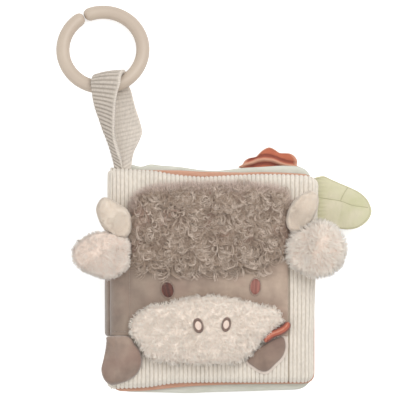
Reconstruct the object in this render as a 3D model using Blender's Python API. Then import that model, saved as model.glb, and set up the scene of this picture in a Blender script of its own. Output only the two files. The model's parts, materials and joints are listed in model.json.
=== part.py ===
"""Soft activity book lying on its back cover: padded covers and pages, an animal's head on
the front, and a split ring on a ribbed cloth strap. Metres, +X towards the free edge of the
pages, +Y towards the ring, +Z out of the front cover."""

import math

import bmesh
import bpy
from mathutils import Matrix, Vector

# Overall sizes of the closed book
COVER_WIDTH = 0.143
COVER_HEIGHT = 0.1547
FREE_EDGE_HEIGHT = 0.146
COVER_CORNER = 0.007
TOP_BOW = 0.0042
BOTTOM_BOW = 0.0024
FREE_BOW = 0.0005

# Cloth and wadding
GAP = 0.0003
CLOTH = 0.0012
LINING = 0.001
SEAM_THICKNESS = 0.0018

# Back cover
BACK_THICKNESS = 0.0085
BACK_ROUND = 0.0025

# Pages
PAGE_THICKNESS = 0.006
PAGE_CLOTH = 0.0008
PAGE_HEIGHT = 0.157
PAGE_FREE_MARGIN = 0.0021
PAGE_BULGE = 0.001
PAGE_CORNER = 0.014
PAGE_CORE_SHARE = 0.9

# Front cover
COVER_DEPTH = 0.0083
COVER_CROWN = 0.0025
EDGE_ROUND = 0.0025
EDGE_ROUND_SHARE = 0.9
SHOULDER_WIDTH = 0.0126
SHOULDER_DROP = 0.0045
FOLD_ABOVE_RIM = 0.0023

# Spine
SPINE_CLEARANCE = 0.001
SPINE_CLOTH = 0.0009
BAND_CLOTH = 0.001
BAND_BULGE = 0.002
SPINE_LENGTH = 0.150
SPINE_FOOT_Z = 0.0035
SPINE_TOP_DROP = 0.0005
BACK_FOLD_Z = 0.004
BACK_FOLD_OUT = 0.0008
FRONT_FOLD_OUT = 0.0003
PAGE_FOLD_IN = 0.001
SPINE_TO_PAGE = 0.0005

# Face
FACE_CLOTH = 0.001
FACE_SEAT = 0.0005
FACE_RIGHT = 0.0525
FACE_TOP = 0.0168
FACE_BOTTOM = -0.0399
FACE_TUCK_LEFT = 0.0185
FACE_TUCK_RIGHT = 0.0075
APPLIQUE_LIFT = 0.0018
MUZZLE_CENTRE = (-0.0049, -0.0360)
MUZZLE_WIDTH = 0.107
MUZZLE_HEIGHT = 0.049
MUZZLE_RISE = 0.013
MUZZLE_PILE = 0.0022
MUZZLE_RIM = 0.002
STUFFING_SHARE = 0.9
FORELOCK_CENTRE = (-0.00245, 0.03535)
FORELOCK_WIDTH = 0.1127
FORELOCK_HEIGHT = 0.0623
FORELOCK_RISE = 0.010
FORELOCK_RIM = 0.002
EYE_WIDTH = 0.0075
EYE_HEIGHT = 0.0108
EYE_LEFT = (-0.0315, -0.0077)
EYE_RIGHT = (0.02975, -0.0056)
EYE_LEFT_TILT = math.radians(14)
EYE_RIGHT_TILT = math.radians(-4)
NOSTRIL_WIDTH = 0.0068
NOSTRIL_HEIGHT = 0.0098
NOSTRIL_LEFT = (-0.01015, -0.0322)
NOSTRIL_RIGHT = (0.0091, -0.0315)
NOSTRIL_LEFT_TILT = math.radians(14)
NOSTRIL_RIGHT_TILT = math.radians(-10)
STITCH_THICKNESS = 0.001
HOOF_CENTRE = (-0.0644, -0.0581)
HOOF_WIDTH = 0.028
HOOF_HEIGHT = 0.035
HOOF_RISE = 0.007
HOOF_RIM = 0.0015
HOOF_UNDER_Z = 0.0302
HOOF_SEAT = 0.0004
HOOF_SKIN = 0.0012

# Stuffed horns and ears
EAR_LENGTH = 0.038
EAR_LEFT_WIDTH = 0.033
EAR_RIGHT_WIDTH = 0.039
EAR_THICKNESS = 0.018
EAR_LIFT = 0.007
EAR_LEFT_BASE = (-0.0606, 0.0172)
EAR_RIGHT_BASE = (0.0556, 0.0200)
HORN_LEFT_LENGTH = 0.0245
HORN_RIGHT_LENGTH = 0.0235
HORN_LEFT_WIDTH = 0.020
HORN_RIGHT_WIDTH = 0.017
HORN_THICKNESS = 0.016
HORN_LIFT = 0.005
HORN_LEFT_BASE = (-0.0600, 0.0385)
HORN_RIGHT_BASE = (0.0540, 0.0405)
EAR_LEFT_SEAT = 0.0019
LIMB_SEAT = 0.0004
LIMB_SKIN = 0.0014
STUFFING_GAP = 0.0005

# Leaf and flower tabs on the pages
TAB_CLOTH = 0.0009
LEAF_LENGTH = 0.0415
LEAF_WIDTH = 0.0385
LEAF_Y = 0.0532
LEAF_FOLD_IN = 0.0027
FLOWER_WIDTH = 0.0382
FLOWER_HEIGHT = 0.0128
FLOWER_X = 0.0397
FLOWER_FOLD_IN = 0.0017

# Leaf and petal at the mouth
MOUTH_LEAF_WIDTH = 0.0245
MOUTH_LEAF_HEIGHT = 0.0230
MOUTH_LEAF_BACK_MARGIN = 0.0014
MOUTH_LEAF_SEAT = 0.0004
PETAL_LENGTH = 0.0150
PETAL_THICKNESS = 0.0036
PETAL_HEIGHT = 0.008

# Ring and strap
RING_RADIUS = 0.0281
RING_TUBE_RADIUS = 0.0047
RING_CENTRE = (-0.07735, 0.161)
RING_TILT = math.radians(18.8)
RING_TURN = math.radians(5)
RING_GAP_FROM = math.radians(117)
RING_GAP_TO = math.radians(119.5)
STRAP_THICKNESS = 0.0014
STRAP_WIDTH = 0.021
STRAP_CLEARANCE = 0.0026
STRAP_BASE_X = -0.0637
STRAP_BASE_Z = 0.0232
STRAP_LEG_GAP = 0.0005
STRAP_LEG_SHIFT = 0.0026
STRAP_FOLD_OUT = 0.0026

# Powers of the puffed forms: the higher, the flatter the middle and the steeper the edge
CROWN_POWER = 4
PUFF_POWER = 2.6
FLAT_PUFF_POWER = 4

# Angle over which an edge looks sharp
SHARP_ANGLE = math.radians(40)

# Counts of points
PANEL_SIDE_POINTS = 6
PANEL_CORNER_POINTS = 4
OUTLINE_POINTS = 32
TAB_POINTS = 28
LIMB_SIDES = 12
TUBE_SIDES = 10
RING_SECTIONS = 36
STRAP_LEG_SECTIONS = 9
STRAP_TURN_SECTIONS = 6
SPINE_SECTIONS = 6
PETAL_SECTIONS = 9
HEADING_STEPS = 40

# Rings of points over a padded piece, as shares of the way to its outline
BACK_RING_SHARES = (0.9, 0.96, 1.0)
FRONT_RING_SHARES = (0.35, 0.6, 0.76, 0.88, 0.95, 0.98, 1.0)
FLAT_RING_SHARES = (0.6, 1.0)
PAGE_RING_SHARES = (0.6, 0.88, 1.0)
FILM_RING_SHARES = (0.7, 1.0)
FORELOCK_RING_SHARES = (0.35, 0.6, 0.8, 0.92, 1.0)
MUZZLE_RING_SHARES = (0.35, 0.6, 0.78, 0.9, 0.96, 1.0)
MUZZLE_STUFFING_SHARES = (0.4, 0.7, 0.85)
HOOF_RING_SHARES = (0.4, 0.7, 0.88, 1.0)
HOOF_STUFFING_SHARES = (0.4, 0.7)
# Over a rounded end of the ring, as shares of its tube's radius
RING_END_SHARES = (0.08, 0.3, 0.6)

# Places beside the muzzle, as shares of its half width and half height from its centre
MOUTH_LEAF_PLACE_SHARES = (0.817, -0.718)
PETAL_PLACE_SHARES = (0.839, -0.122)

# Outlines, as shares of each piece's half width and half height
MUZZLE_SHARES = (
    (-1.01, 0.13), (-0.94, 0.38), (-0.79, 0.63), (-0.46, 0.78), (-0.12, 0.95), (0.14, 1.0),
    (0.38, 0.91), (0.71, 0.75), (0.93, 0.6), (1.0, 0.42), (0.93, 0.2), (0.79, -0.09),
    (0.69, -0.46), (0.54, -0.79), (0.38, -0.97), (0.04, -1.0), (-0.29, -0.95),
    (-0.62, -0.82), (-0.82, -0.64), (-0.96, -0.24),
)
FORELOCK_SHARES = (
    (-0.975, -0.75), (-1.0, -0.15), (-0.99, 0.53), (-0.86, 0.82), (-0.61, 0.96),
    (-0.24, 1.0), (0.19, 1.0), (0.63, 0.98), (0.88, 0.87), (0.915, 0.64), (0.88, 0.33),
    (0.9, -0.08), (0.98, -0.37), (0.925, -0.64), (0.65, -0.87), (0.25, -0.98),
    (-0.24, -1.0), (-0.68, -0.98),
)
HOOF_SHARES = (
    (-0.6, 0.98), (0.2, 0.98), (0.45, 0.8), (0.72, 0.46), (0.96, 0.16), (0.925, -0.16),
    (0.65, -0.52), (0.25, -0.76), (-0.2, -0.98), (-0.5, -0.96), (-0.8, -0.72),
    (-0.975, -0.32), (-0.9, 0.12), (-0.725, 0.56),
)
MOUTH_LEAF_SHARES = (
    (-0.92, -0.2), (-0.45, 0.3), (0.0, 0.8), (0.3, 0.93), (0.65, 0.96), (0.97, 0.55),
    (0.95, 0.1), (0.65, -0.5), (0.25, -0.88), (-0.15, -1.0), (-0.52, -0.86), (-0.85, -0.5),
)
# From the root to the tip and back, along the length and across half the width
LEAF_SHARES = (
    (0.0, 0.89), (0.21, 1.0), (0.43, 0.84), (0.61, 0.62), (0.8, 0.44), (0.9, 0.25),
    (0.985, -0.07), (1.0, -0.33), (0.965, -0.58), (0.9, -0.73), (0.66, -0.96),
    (0.43, -0.98), (0.21, -0.91), (0.0, -0.76),
)
# Across half the width and up the height, from one end of the root to the other
FLOWER_SHARES = (
    (1.0, 0.0), (1.0, 0.27), (0.93, 0.49), (0.73, 0.64), (0.52, 0.74), (0.29, 0.77),
    (0.157, 0.9), (0.0, 1.0), (-0.21, 0.875), (-0.32, 0.71), (-0.38, 0.5),
    (-0.58, 0.41), (-0.78, 0.24), (-1.0, 0.0),
)
# Up the face panel, with how far its sides are tucked under the forelock, and across it
FACE_ROW_SHARES = (
    (0.0, 0.0), (0.25, 0.0), (0.5, 0.0), (0.75, 0.0), (1.0, 0.0), (1.01, 0.12), (1.02, 0.3),
    (1.03, 0.55), (1.05, 1.0), (1.25, 1.0), (1.45, 1.0), (1.6, 1.0), (1.73, 1.0),
)
FACE_COLUMN_SHARES = (0.0, 0.01, 0.03, 0.06, 0.1, 0.2, 0.32, 0.44, 0.56, 0.68, 0.8, 0.9, 1.0)
# Along the petal and across it, as shares of its length
PETAL_SHARES = ((0.0, 0.0), (0.25, 0.2), (0.5, 0.26), (0.75, 0.42), (1.0, 0.8))
# Along the limb, half width, half thickness and lift
EAR_ROW_SHARES = (
    (0.0, 0.5, 0.3, 0.0), (0.12, 0.64, 0.55, 0.35), (0.3, 0.87, 0.88, 0.8),
    (0.5, 1.0, 1.0, 1.0), (0.72, 0.97, 0.95, 1.0), (0.88, 0.75, 0.75, 0.95),
    (0.97, 0.4, 0.42, 0.9), (1.0, 0.0, 0.0, 0.9),
)
HORN_ROW_SHARES = (
    (0.0, 0.86, 0.5, 0.0), (0.15, 0.96, 0.8, 0.45), (0.35, 1.0, 1.0, 0.85),
    (0.6, 0.96, 0.95, 1.0), (0.82, 0.74, 0.72, 1.0), (0.95, 0.42, 0.4, 0.95),
    (1.0, 0.0, 0.0, 0.9),
)
# Headings of a limb at its base and at its tip, turned from +X
EAR_LEFT_HEADINGS = (math.radians(180), math.radians(180))
EAR_RIGHT_HEADINGS = (0.0, math.radians(6))
HORN_LEFT_HEADINGS = (math.radians(176), math.radians(104))
HORN_RIGHT_HEADINGS = (math.radians(46), math.radians(60))
# Along a leg of the strap from its sewn end, sideways shift, and width
STRAP_FRONT_SHARES = (
    (0.0, 0.0, 0.4), (0.3, -0.06, 0.45), (0.6, -0.15, 0.6), (0.82, -0.12, 0.76),
    (1.0, 0.0, 0.94),
)
STRAP_BACK_SHARES = (
    (0.0, 0.0, 0.4), (0.12, 0.1, 0.5), (0.42, 0.36, 0.86), (0.8, 0.2, 0.94),
    (1.0, 0.0, 0.94),
)

# Places worked out from the sizes
LEFT = -COVER_WIDTH / 2
RIGHT = COVER_WIDTH / 2
PAGE_2_Z = BACK_THICKNESS + GAP + PAGE_THICKNESS / 2
PAGE_1_Z = PAGE_2_Z + PAGE_THICKNESS + GAP
LINING_Z = PAGE_1_Z + PAGE_THICKNESS / 2 + GAP
RIM_Z = LINING_Z + LINING + GAP
FACE_Z = RIM_Z + COVER_DEPTH
SPINE_INNER_X = LEFT - GAP
BACK_FOLD = Vector((LEFT - BACK_FOLD_OUT, 0, BACK_FOLD_Z))
FRONT_FOLD = Vector((LEFT - FRONT_FOLD_OUT, 0, RIM_Z + FOLD_ABOVE_RIM))
PAGE_LEFT = LEFT + SPINE_CLEARANCE + SPINE_TO_PAGE
PAGE_RIGHT = RIGHT - PAGE_FREE_MARGIN
PAGE_1_FOLD = Vector((PAGE_LEFT + PAGE_FOLD_IN, 0, PAGE_1_Z))
PAGE_2_FOLD = Vector((PAGE_LEFT + PAGE_FOLD_IN, 0, PAGE_2_Z))
PAGE_TOP = PAGE_HEIGHT / 2 + PAGE_BULGE
LEAF_ROOT_X = PAGE_RIGHT + GAP
LEAF_FOLD = Vector((LEAF_ROOT_X + LEAF_FOLD_IN, LEAF_Y, PAGE_1_Z))
FLOWER_ROOT_Y = PAGE_TOP + GAP
FLOWER_FOLD = Vector((FLOWER_X, FLOWER_ROOT_Y + FLOWER_FOLD_IN, PAGE_2_Z))
MOUTH_LEAF_CENTRE = (
    MUZZLE_CENTRE[0] + MOUTH_LEAF_PLACE_SHARES[0] * MUZZLE_WIDTH / 2,
    MUZZLE_CENTRE[1] + MOUTH_LEAF_PLACE_SHARES[1] * MUZZLE_HEIGHT / 2,
)
PETAL_START = (
    MUZZLE_CENTRE[0] + PETAL_PLACE_SHARES[0] * MUZZLE_WIDTH / 2,
    MUZZLE_CENTRE[1] + PETAL_PLACE_SHARES[1] * MUZZLE_HEIGHT / 2,
)
STRAP_BASE_Y = COVER_HEIGHT / 2 + GAP
STRAP_FOLD = Vector((STRAP_BASE_X, STRAP_BASE_Y + STRAP_FOLD_OUT, STRAP_BASE_Z))
RING_ACROSS = Vector((1, 0, 0))
RING_UP = Vector((0, math.cos(RING_TILT), -math.sin(RING_TILT)))
RING_Z = RING_TUBE_RADIUS + RING_RADIUS * math.sin(RING_TILT)
RING_MIDDLE = Vector((*RING_CENTRE, RING_Z))
RING_HOLD = RING_MIDDLE + RING_RADIUS * (
    math.sin(RING_TURN) * RING_ACROSS - math.cos(RING_TURN) * RING_UP
)
RING_AXIS = math.cos(RING_TURN) * RING_ACROSS + math.sin(RING_TURN) * RING_UP

# Colours and roughness of the materials
FINISHES = {
    "corduroy": ((0.79, 0.74, 0.66), 0.95),
    "velour": ((0.37, 0.30, 0.25), 0.9),
    "coral": ((0.65, 0.33, 0.22), 0.85),
    "sage_page": ((0.70, 0.69, 0.60), 0.85),
    "wadding": ((0.90, 0.90, 0.88), 1.0),
    "crinkle_film": ((0.80, 0.82, 0.84), 0.35),
    "curly_pile": ((0.33, 0.26, 0.21), 1.0),
    "sherpa": ((0.82, 0.74, 0.66), 1.0),
    "ear_plush": ((0.80, 0.68, 0.60), 1.0),
    "horn_velour": ((0.76, 0.68, 0.59), 0.9),
    "eye_thread": ((0.22, 0.09, 0.06), 0.6),
    "nostril_thread": ((0.28, 0.19, 0.15), 0.6),
    "leaf_cloth": ((0.66, 0.67, 0.42), 0.85),
    "terracotta": ((0.50, 0.17, 0.10), 0.85),
    "ring_plastic": ((0.66, 0.56, 0.46), 0.5),
}

places = {}


def clear_scene():
    for item in list(bpy.data.objects):
        bpy.data.objects.remove(item, do_unlink=True)


def finish(name):
    """The material of this name, made once."""
    found = bpy.data.materials.get(name)
    if found:
        return found
    colour, roughness = FINISHES[name]
    made = bpy.data.materials.new(name)
    made.use_nodes = True
    shader = made.node_tree.nodes["Principled BSDF"]
    shader.inputs["Base Color"].default_value = (*colour, 1)
    shader.inputs["Roughness"].default_value = roughness
    shader.inputs["Metallic"].default_value = 0
    return made


def pivot(name, place, parent=None):
    """An empty on a joint's axis, which carries the pieces that turn with it."""
    empty = bpy.data.objects.new(name, None)
    bpy.context.scene.collection.objects.link(empty)
    place = Vector(place)
    places[name] = place
    if parent:
        empty.parent = parent
        place = place - places[parent.name]
    empty.location = place
    return empty


def skin(name, rings, material, carrier, loop=False):
    """A closed mesh through rings of points. A ring of one point closes an end, and loop joins
    the last ring to the first."""
    bm = bmesh.new()
    rows = [[bm.verts.new(Vector(p) - places[carrier.name]) for p in ring] for ring in rings]
    pairs = list(zip(rows, rows[1:]))
    if loop:
        pairs.append((rows[-1], rows[0]))
    for low, high in pairs:
        most = max(len(low), len(high))
        if most == 1:
            continue
        for i in range(most):
            j = (i + 1) % most
            corners = [low[i % len(low)], low[j % len(low)], high[j % len(high)], high[i % len(high)]]
            bm.faces.new(list(dict.fromkeys(corners)))
    if not loop:
        for row in (rows[0], rows[-1]):
            if len(row) > 1:
                bm.faces.new(row)
    bmesh.ops.recalc_face_normals(bm, faces=bm.faces)
    mesh = bpy.data.meshes.new(name)
    bm.to_mesh(mesh)
    bm.free()
    mesh.shade_smooth()
    mesh.set_sharp_from_angle(angle=SHARP_ANGLE)
    mesh.materials.append(finish(material))
    piece = bpy.data.objects.new(name, mesh)
    piece.parent = carrier
    bpy.context.scene.collection.objects.link(piece)
    return piece


def curve_point(points, t):
    """A point of the Catmull-Rom curve between the middle two of four neighbours."""
    a, b, c, d = points
    return tuple(
        0.5 * (2 * q + (r - p) * t + (2 * p - 5 * q + 4 * r - s) * t**2 + (3 * (q - r) + s - p) * t**3)
        for p, q, r, s in zip(a, b, c, d)
    )


def smooth_closed(points, count):
    """A closed smooth outline of count points through the given ones."""
    total = len(points)
    made = []
    for k in range(count):
        at = k * total / count
        i = int(at)
        near = [points[(i + n) % total] for n in (-1, 0, 1, 2)]
        made.append(curve_point(near, at - i))
    return made


def smooth_open(points, count):
    """A smooth line of count points through the given ones, with its ends kept."""
    last = len(points) - 1
    made = []
    for k in range(count):
        at = k * last / (count - 1)
        i = min(int(at), last - 1)
        near = [points[min(max(i + n, 0), last)] for n in (-1, 0, 1, 2)]
        made.append(curve_point(near, at - i))
    return made


def placed(shares, centre, width, height, count=OUTLINE_POINTS, tilt=0.0):
    """A smooth closed outline from shares of a half width and a half height."""
    turn = Matrix.Rotation(tilt, 2)
    made = []
    for u, v in smooth_closed(shares, count):
        offset = turn @ Vector((u * width / 2, v * height / 2))
        made.append((centre[0] + offset.x, centre[1] + offset.y))
    return made


def ellipse(centre, width, height, tilt, count):
    """An oval outline, tilted."""
    turn = Matrix.Rotation(tilt, 2)
    made = []
    for k in range(count):
        angle = math.tau * k / count
        offset = turn @ Vector((math.cos(angle) * width / 2, math.sin(angle) * height / 2))
        made.append((centre[0] + offset.x, centre[1] + offset.y))
    return made


def panel(left, right, left_height, right_height, bows, corner):
    """A sewn panel's outline, counter-clockwise from its lower left corner. Each bow draws a
    side inwards at its middle: bottom, right, top, left."""
    corners = [
        Vector((left, -left_height / 2)),
        Vector((right, -right_height / 2)),
        Vector((right, right_height / 2)),
        Vector((left, left_height / 2)),
    ]
    made = []
    for i, start in enumerate(corners):
        end = corners[(i + 1) % len(corners)]
        before = corners[i - 1]
        side = (end - start).normalized()
        back = (before - start).normalized()
        inward = Vector((-side.y, side.x))
        for k in range(PANEL_CORNER_POINTS):
            t = k / PANEL_CORNER_POINTS
            made.append(start + corner * (back * (1 - t) ** 2 + side * t**2))
        run = (end - start).length - 2 * corner
        for k in range(PANEL_SIDE_POINTS):
            t = k / PANEL_SIDE_POINTS
            bow = bows[i] * math.sin(math.pi * t)
            made.append(start + side * (corner + run * t) + inward * bow)
    return [tuple(p) for p in made]


def middle(outline):
    """The centre of an outline's box."""
    xs = [p[0] for p in outline]
    ys = [p[1] for p in outline]
    return (min(xs) + max(xs)) / 2, (min(ys) + max(ys)) / 2


def inset(outline, by):
    """The outline drawn in by about the same distance all round."""
    cx, cy = middle(outline)
    half_x = max(p[0] for p in outline) - cx
    half_y = max(p[1] for p in outline) - cy
    return [(cx + (x - cx) * (1 - by / half_x), cy + (y - cy) * (1 - by / half_y)) for x, y in outline]


def share_at(outline, x, y):
    """How far a point lies from an outline's centre, as a share of the way to the outline."""
    cx, cy = middle(outline)
    if x == cx and y == cy:
        return 0.0
    heading = Vector((x - cx, y - cy))
    for (ax, ay), (bx, by) in zip(outline, outline[1:] + outline[:1]):
        a = Vector((ax - cx, ay - cy))
        b = Vector((bx - cx, by - cy))
        along = b - a
        cross = heading.x * along.y - heading.y * along.x
        if cross == 0:
            continue
        reach = (a.x * along.y - a.y * along.x) / cross
        part = (a.x * heading.y - a.y * heading.x) / cross
        if reach > 0 and 0 <= part <= 1:
            return 1 / reach
    return 0.0


def ring_of(outline, share, height):
    """The outline scaled about its centre, each point at the height that height(x, y, share) gives."""
    cx, cy = middle(outline)
    if share == 0:
        return [(cx, cy, height(cx, cy, share))]
    flat = [(cx + (x - cx) * share, cy + (y - cy) * share) for x, y in outline]
    return [(x, y, height(x, y, share)) for x, y in flat]


def pad(name, outline, shares, low, high, material, carrier):
    """A solid over an outline, between two heights."""
    rings = [ring_of(outline, s, low) for s in (0, *shares)]
    rings += [ring_of(outline, s, high) for s in reversed((0, *shares))]
    return skin(name, rings, material, carrier)


def dish(name, outer, wall, shares, outside, inside, rim, material, carrier):
    """A shell over an outline, closed at its crown and open at its rim."""
    inner = inset(outer, wall)
    rings = [ring_of(outer, s, outside) for s in (0, *shares)]
    rings.append([(x, y, rim) for x, y in outer])
    rings.append([(x, y, rim) for x, y in inner])
    rings += [ring_of(inner, s, inside) for s in reversed((0, *shares))]
    return skin(name, rings, material, carrier)


def limb(name, base, base_z, headings, sizes, rows, carrier, material):
    """A stuffed limb: a sewn skin open at its base, and the stuffing in it."""
    length, width, thickness, lift = sizes

    def sections(shrink, start):
        made = []
        reach = length - shrink
        for along, wide, thick, raised in rows:
            x, y = base
            step = along * reach / HEADING_STEPS
            for k in range(HEADING_STEPS):
                part = along * (k + 0.5) / HEADING_STEPS
                heading = headings[0] + (headings[1] - headings[0]) * part
                x += math.cos(heading) * step
                y += math.sin(heading) * step
            heading = headings[0] + (headings[1] - headings[0]) * along
            half_w = wide * width / 2 - shrink
            half_t = thick * thickness / 2 - shrink
            z = base_z + raised * lift
            if wide == 0:
                made.append([(x, y, z)])
                continue
            if along == 0:
                x += math.cos(heading) * start
                y += math.sin(heading) * start
            centre = Vector((x, y, z))
            side = Vector((-math.sin(heading), math.cos(heading), 0)) * half_w
            up = Vector((0, 0, half_t))
            turns = [math.tau * k / LIMB_SIDES for k in range(LIMB_SIDES)]
            made.append([centre + side * math.cos(a) + up * math.sin(a) for a in turns])
        return made

    outer = sections(0, 0)
    inner = sections(LIMB_SKIN, 0)
    skin(name, outer + inner[::-1], material, carrier, loop=True)
    skin(f"{name}_stuffing", sections(LIMB_SKIN + STUFFING_GAP, STUFFING_GAP), "wadding", carrier)


def edge_round(share):
    """How far a panel's face drops towards its seam."""
    past = max(0, share - EDGE_ROUND_SHARE) / (1 - EDGE_ROUND_SHARE)
    return EDGE_ROUND * (1 - math.sqrt(max(0, 1 - past * past)))


def cover_top(x, y, share=0):
    """The height of the front cover's face over a point, with its crown and its shoulder."""
    across = min(1, abs(x) / RIGHT)
    along = min(1, abs(y) / (COVER_HEIGHT / 2))
    crown = COVER_CROWN * (1 - across**CROWN_POWER) * (1 - along**CROWN_POWER)
    past = min(1, max(0, LEFT + SHOULDER_WIDTH - x) / SHOULDER_WIDTH)
    drop = SHOULDER_DROP * (1 - math.sqrt(1 - past * past))
    return FACE_Z + crown - drop - edge_round(share)


def above_cover(by):
    return lambda x, y, share: cover_top(x, y) + by


def flat(z):
    return lambda x, y, share: z


def cover_outline(bows):
    return panel(LEFT, RIGHT, COVER_HEIGHT, FREE_EDGE_HEIGHT, bows, COVER_CORNER)


def make_back_cover(body):
    outline = cover_outline((BOTTOM_BOW, FREE_BOW, TOP_BOW, 0))
    rim = BACK_THICKNESS - LINING - GAP

    def under(x, y, share):
        return edge_round(share) * BACK_ROUND / EDGE_ROUND

    def inside(x, y, share):
        return CLOTH + under(x, y, share)

    shares = BACK_RING_SHARES
    dish("back_cover_corduroy", outline, CLOTH, shares, under, inside, rim, "corduroy", body)
    stuffed = inset(outline, CLOTH + GAP)

    def batting_low(x, y, share):
        return inside(x, y, share) + GAP

    pad("back_cover_batting", stuffed, shares, batting_low, flat(rim - GAP), "wadding", body)
    low = flat(rim + GAP)
    high = flat(BACK_THICKNESS)
    lining = cover_outline((0, 0, 0, 0))
    pad("back_cover_lining", lining, FLAT_RING_SHARES, low, high, "sage_page", body)


def make_front_cover(body):
    outline = cover_outline((BOTTOM_BOW, FREE_BOW, TOP_BOW, 0))
    shares = FRONT_RING_SHARES

    def inside(x, y, share):
        return cover_top(x, y, share) - CLOTH

    dish("front_cover_corduroy", outline, CLOTH, shares, cover_top, inside, RIM_Z, "corduroy", body)
    stuffed = inset(outline, CLOTH + GAP)

    def batting_high(x, y, share):
        return inside(x, y, share) - GAP

    pad("front_cover_batting", stuffed, shares, flat(RIM_Z), batting_high, "wadding", body)
    low = flat(LINING_Z)
    high = flat(LINING_Z + LINING)
    lining = cover_outline((0, 0, 0, 0))
    pad("front_cover_lining", lining, FLAT_RING_SHARES, low, high, "coral", body)


def make_page(name, z, body):
    """One page: two cloth faces sewn round a thin core."""
    bows = (-PAGE_BULGE, 0, -PAGE_BULGE, 0)
    outline = panel(PAGE_LEFT, PAGE_RIGHT, PAGE_HEIGHT, PAGE_HEIGHT, bows, PAGE_CORNER)

    def half(share):
        seam = SEAM_THICKNESS / 2
        return seam + (PAGE_THICKNESS / 2 - seam) * (1 - share**FLAT_PUFF_POWER)

    def inner(share):
        return max(GAP / 2, half(share) - PAGE_CLOTH)

    def core(share):
        return inner(share * PAGE_CORE_SHARE) - GAP

    for side, sign in (("front", 1), ("back", -1)):
        pad(
            f"{name}_{side}",
            outline,
            PAGE_RING_SHARES,
            lambda x, y, share, sign=sign: z + sign * inner(share),
            lambda x, y, share, sign=sign: z + sign * half(share),
            "sage_page",
            body,
        )
    cx, cy = middle(outline)
    inside = [(cx + (x - cx) * PAGE_CORE_SHARE, cy + (y - cy) * PAGE_CORE_SHARE) for x, y in outline]
    pad(
        f"{name}_crinkle_film",
        inside,
        FILM_RING_SHARES,
        lambda x, y, share: z - core(share),
        lambda x, y, share: z + core(share),
        "crinkle_film",
        body,
    )


def make_spine(body):
    """The corduroy strip between the covers, the bulging velour band on it at the height of the
    face, and the inner strip that the pages are sewn to."""

    def strip(name, x, bulge, thickness, heights, ends, material):
        low, high = heights
        shares = [k / SPINE_SECTIONS for k in range(SPINE_SECTIONS + 1)]
        near = [(x - bulge * math.sin(math.pi * t), low + (high - low) * t) for t in shares]
        section = near + [(across - thickness, z) for across, z in reversed(near)]
        rings = [[(across, y, z) for across, z in section] for y in ends]
        skin(name, rings, material, body)

    outer = (SPINE_FOOT_Z, FRONT_FOLD.z - SPINE_TOP_DROP)
    inner = (BACK_THICKNESS + GAP, LINING_Z - GAP)
    whole = (-SPINE_LENGTH / 2, SPINE_LENGTH / 2)
    band = (FACE_BOTTOM, FACE_TOP)
    band_x = SPINE_INNER_X - SPINE_CLOTH - GAP
    strip("spine_corduroy", SPINE_INNER_X, 0, SPINE_CLOTH, outer, whole, "corduroy")
    strip("spine_velour", band_x, BAND_BULGE, BAND_CLOTH, outer, band, "velour")
    strip("spine_lining", LEFT + SPINE_CLEARANCE, 0, LINING, inner, whole, "sage_page")


def make_face(body):
    """The velour panel that wraps on to the shoulder of the cover."""
    rings = []
    for s, tucked in FACE_ROW_SHARES:
        y = FACE_BOTTOM + (FACE_TOP - FACE_BOTTOM) * s
        left = LEFT + GAP + tucked * FACE_TUCK_LEFT
        right = FACE_RIGHT - tucked * FACE_TUCK_RIGHT
        xs = [left + (right - left) * t for t in FACE_COLUMN_SHARES]
        under = [(x, y, cover_top(x, y) + FACE_SEAT) for x in xs]
        over = [(x, y, cover_top(x, y) + FACE_SEAT + FACE_CLOTH) for x in reversed(xs)]
        rings.append(under + over)
    skin("face_panel", rings, "velour", body)


def dome(rise, rim, power):
    """A puffed height that is rise at the centre and rim at the edge."""
    return lambda share: rim + (rise - rim) * math.sqrt(max(0, 1 - share**power))


def make_muzzle(body):
    """The sherpa muzzle, its stuffing and the two stitched nostrils."""
    outline = placed(MUZZLE_SHARES, MUZZLE_CENTRE, MUZZLE_WIDTH, MUZZLE_HEIGHT)
    puff = dome(MUZZLE_RISE, MUZZLE_RIM, PUFF_POWER)
    shares = MUZZLE_RING_SHARES
    low = above_cover(APPLIQUE_LIFT)

    def over(x, y, share):
        return low(x, y, share) + puff(share)

    def under(x, y, share):
        return max(low(x, y, share) + GAP, over(x, y, share) - MUZZLE_PILE)

    inner = inset(outline, MUZZLE_PILE)
    rings = [ring_of(outline, s, over) for s in (0, *shares)]
    rings.append(ring_of(outline, 1, low))
    rings.append(ring_of(inner, 1, low))
    rings += [ring_of(inner, s, under) for s in reversed((0, *shares[:-1]))]
    skin("muzzle_sherpa", rings, "sherpa", body)
    stuffed = inset(outline, MUZZLE_PILE + MUZZLE_RIM)

    filled = (MUZZLE_RISE - MUZZLE_PILE - MUZZLE_RIM) * STUFFING_SHARE
    fill = dome(filled, 0, FLAT_PUFF_POWER)

    def stuffing_high(x, y, share):
        return low(x, y, share) + GAP + fill(share)

    shares = MUZZLE_STUFFING_SHARES
    pad("muzzle_stuffing", stuffed, shares, low, stuffing_high, "wadding", body)

    def surface(x, y, share):
        return over(x, y, share_at(outline, x, y)) + GAP

    def raised(x, y, share):
        return surface(x, y, share) + STITCH_THICKNESS

    for side, centre, tilt in (
        ("left", NOSTRIL_LEFT, NOSTRIL_LEFT_TILT),
        ("right", NOSTRIL_RIGHT, NOSTRIL_RIGHT_TILT),
    ):
        oval = ellipse(centre, NOSTRIL_WIDTH, NOSTRIL_HEIGHT, tilt, LIMB_SIDES)
        pad(f"nostril_{side}", oval, FLAT_RING_SHARES, surface, raised, "nostril_thread", body)


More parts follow.
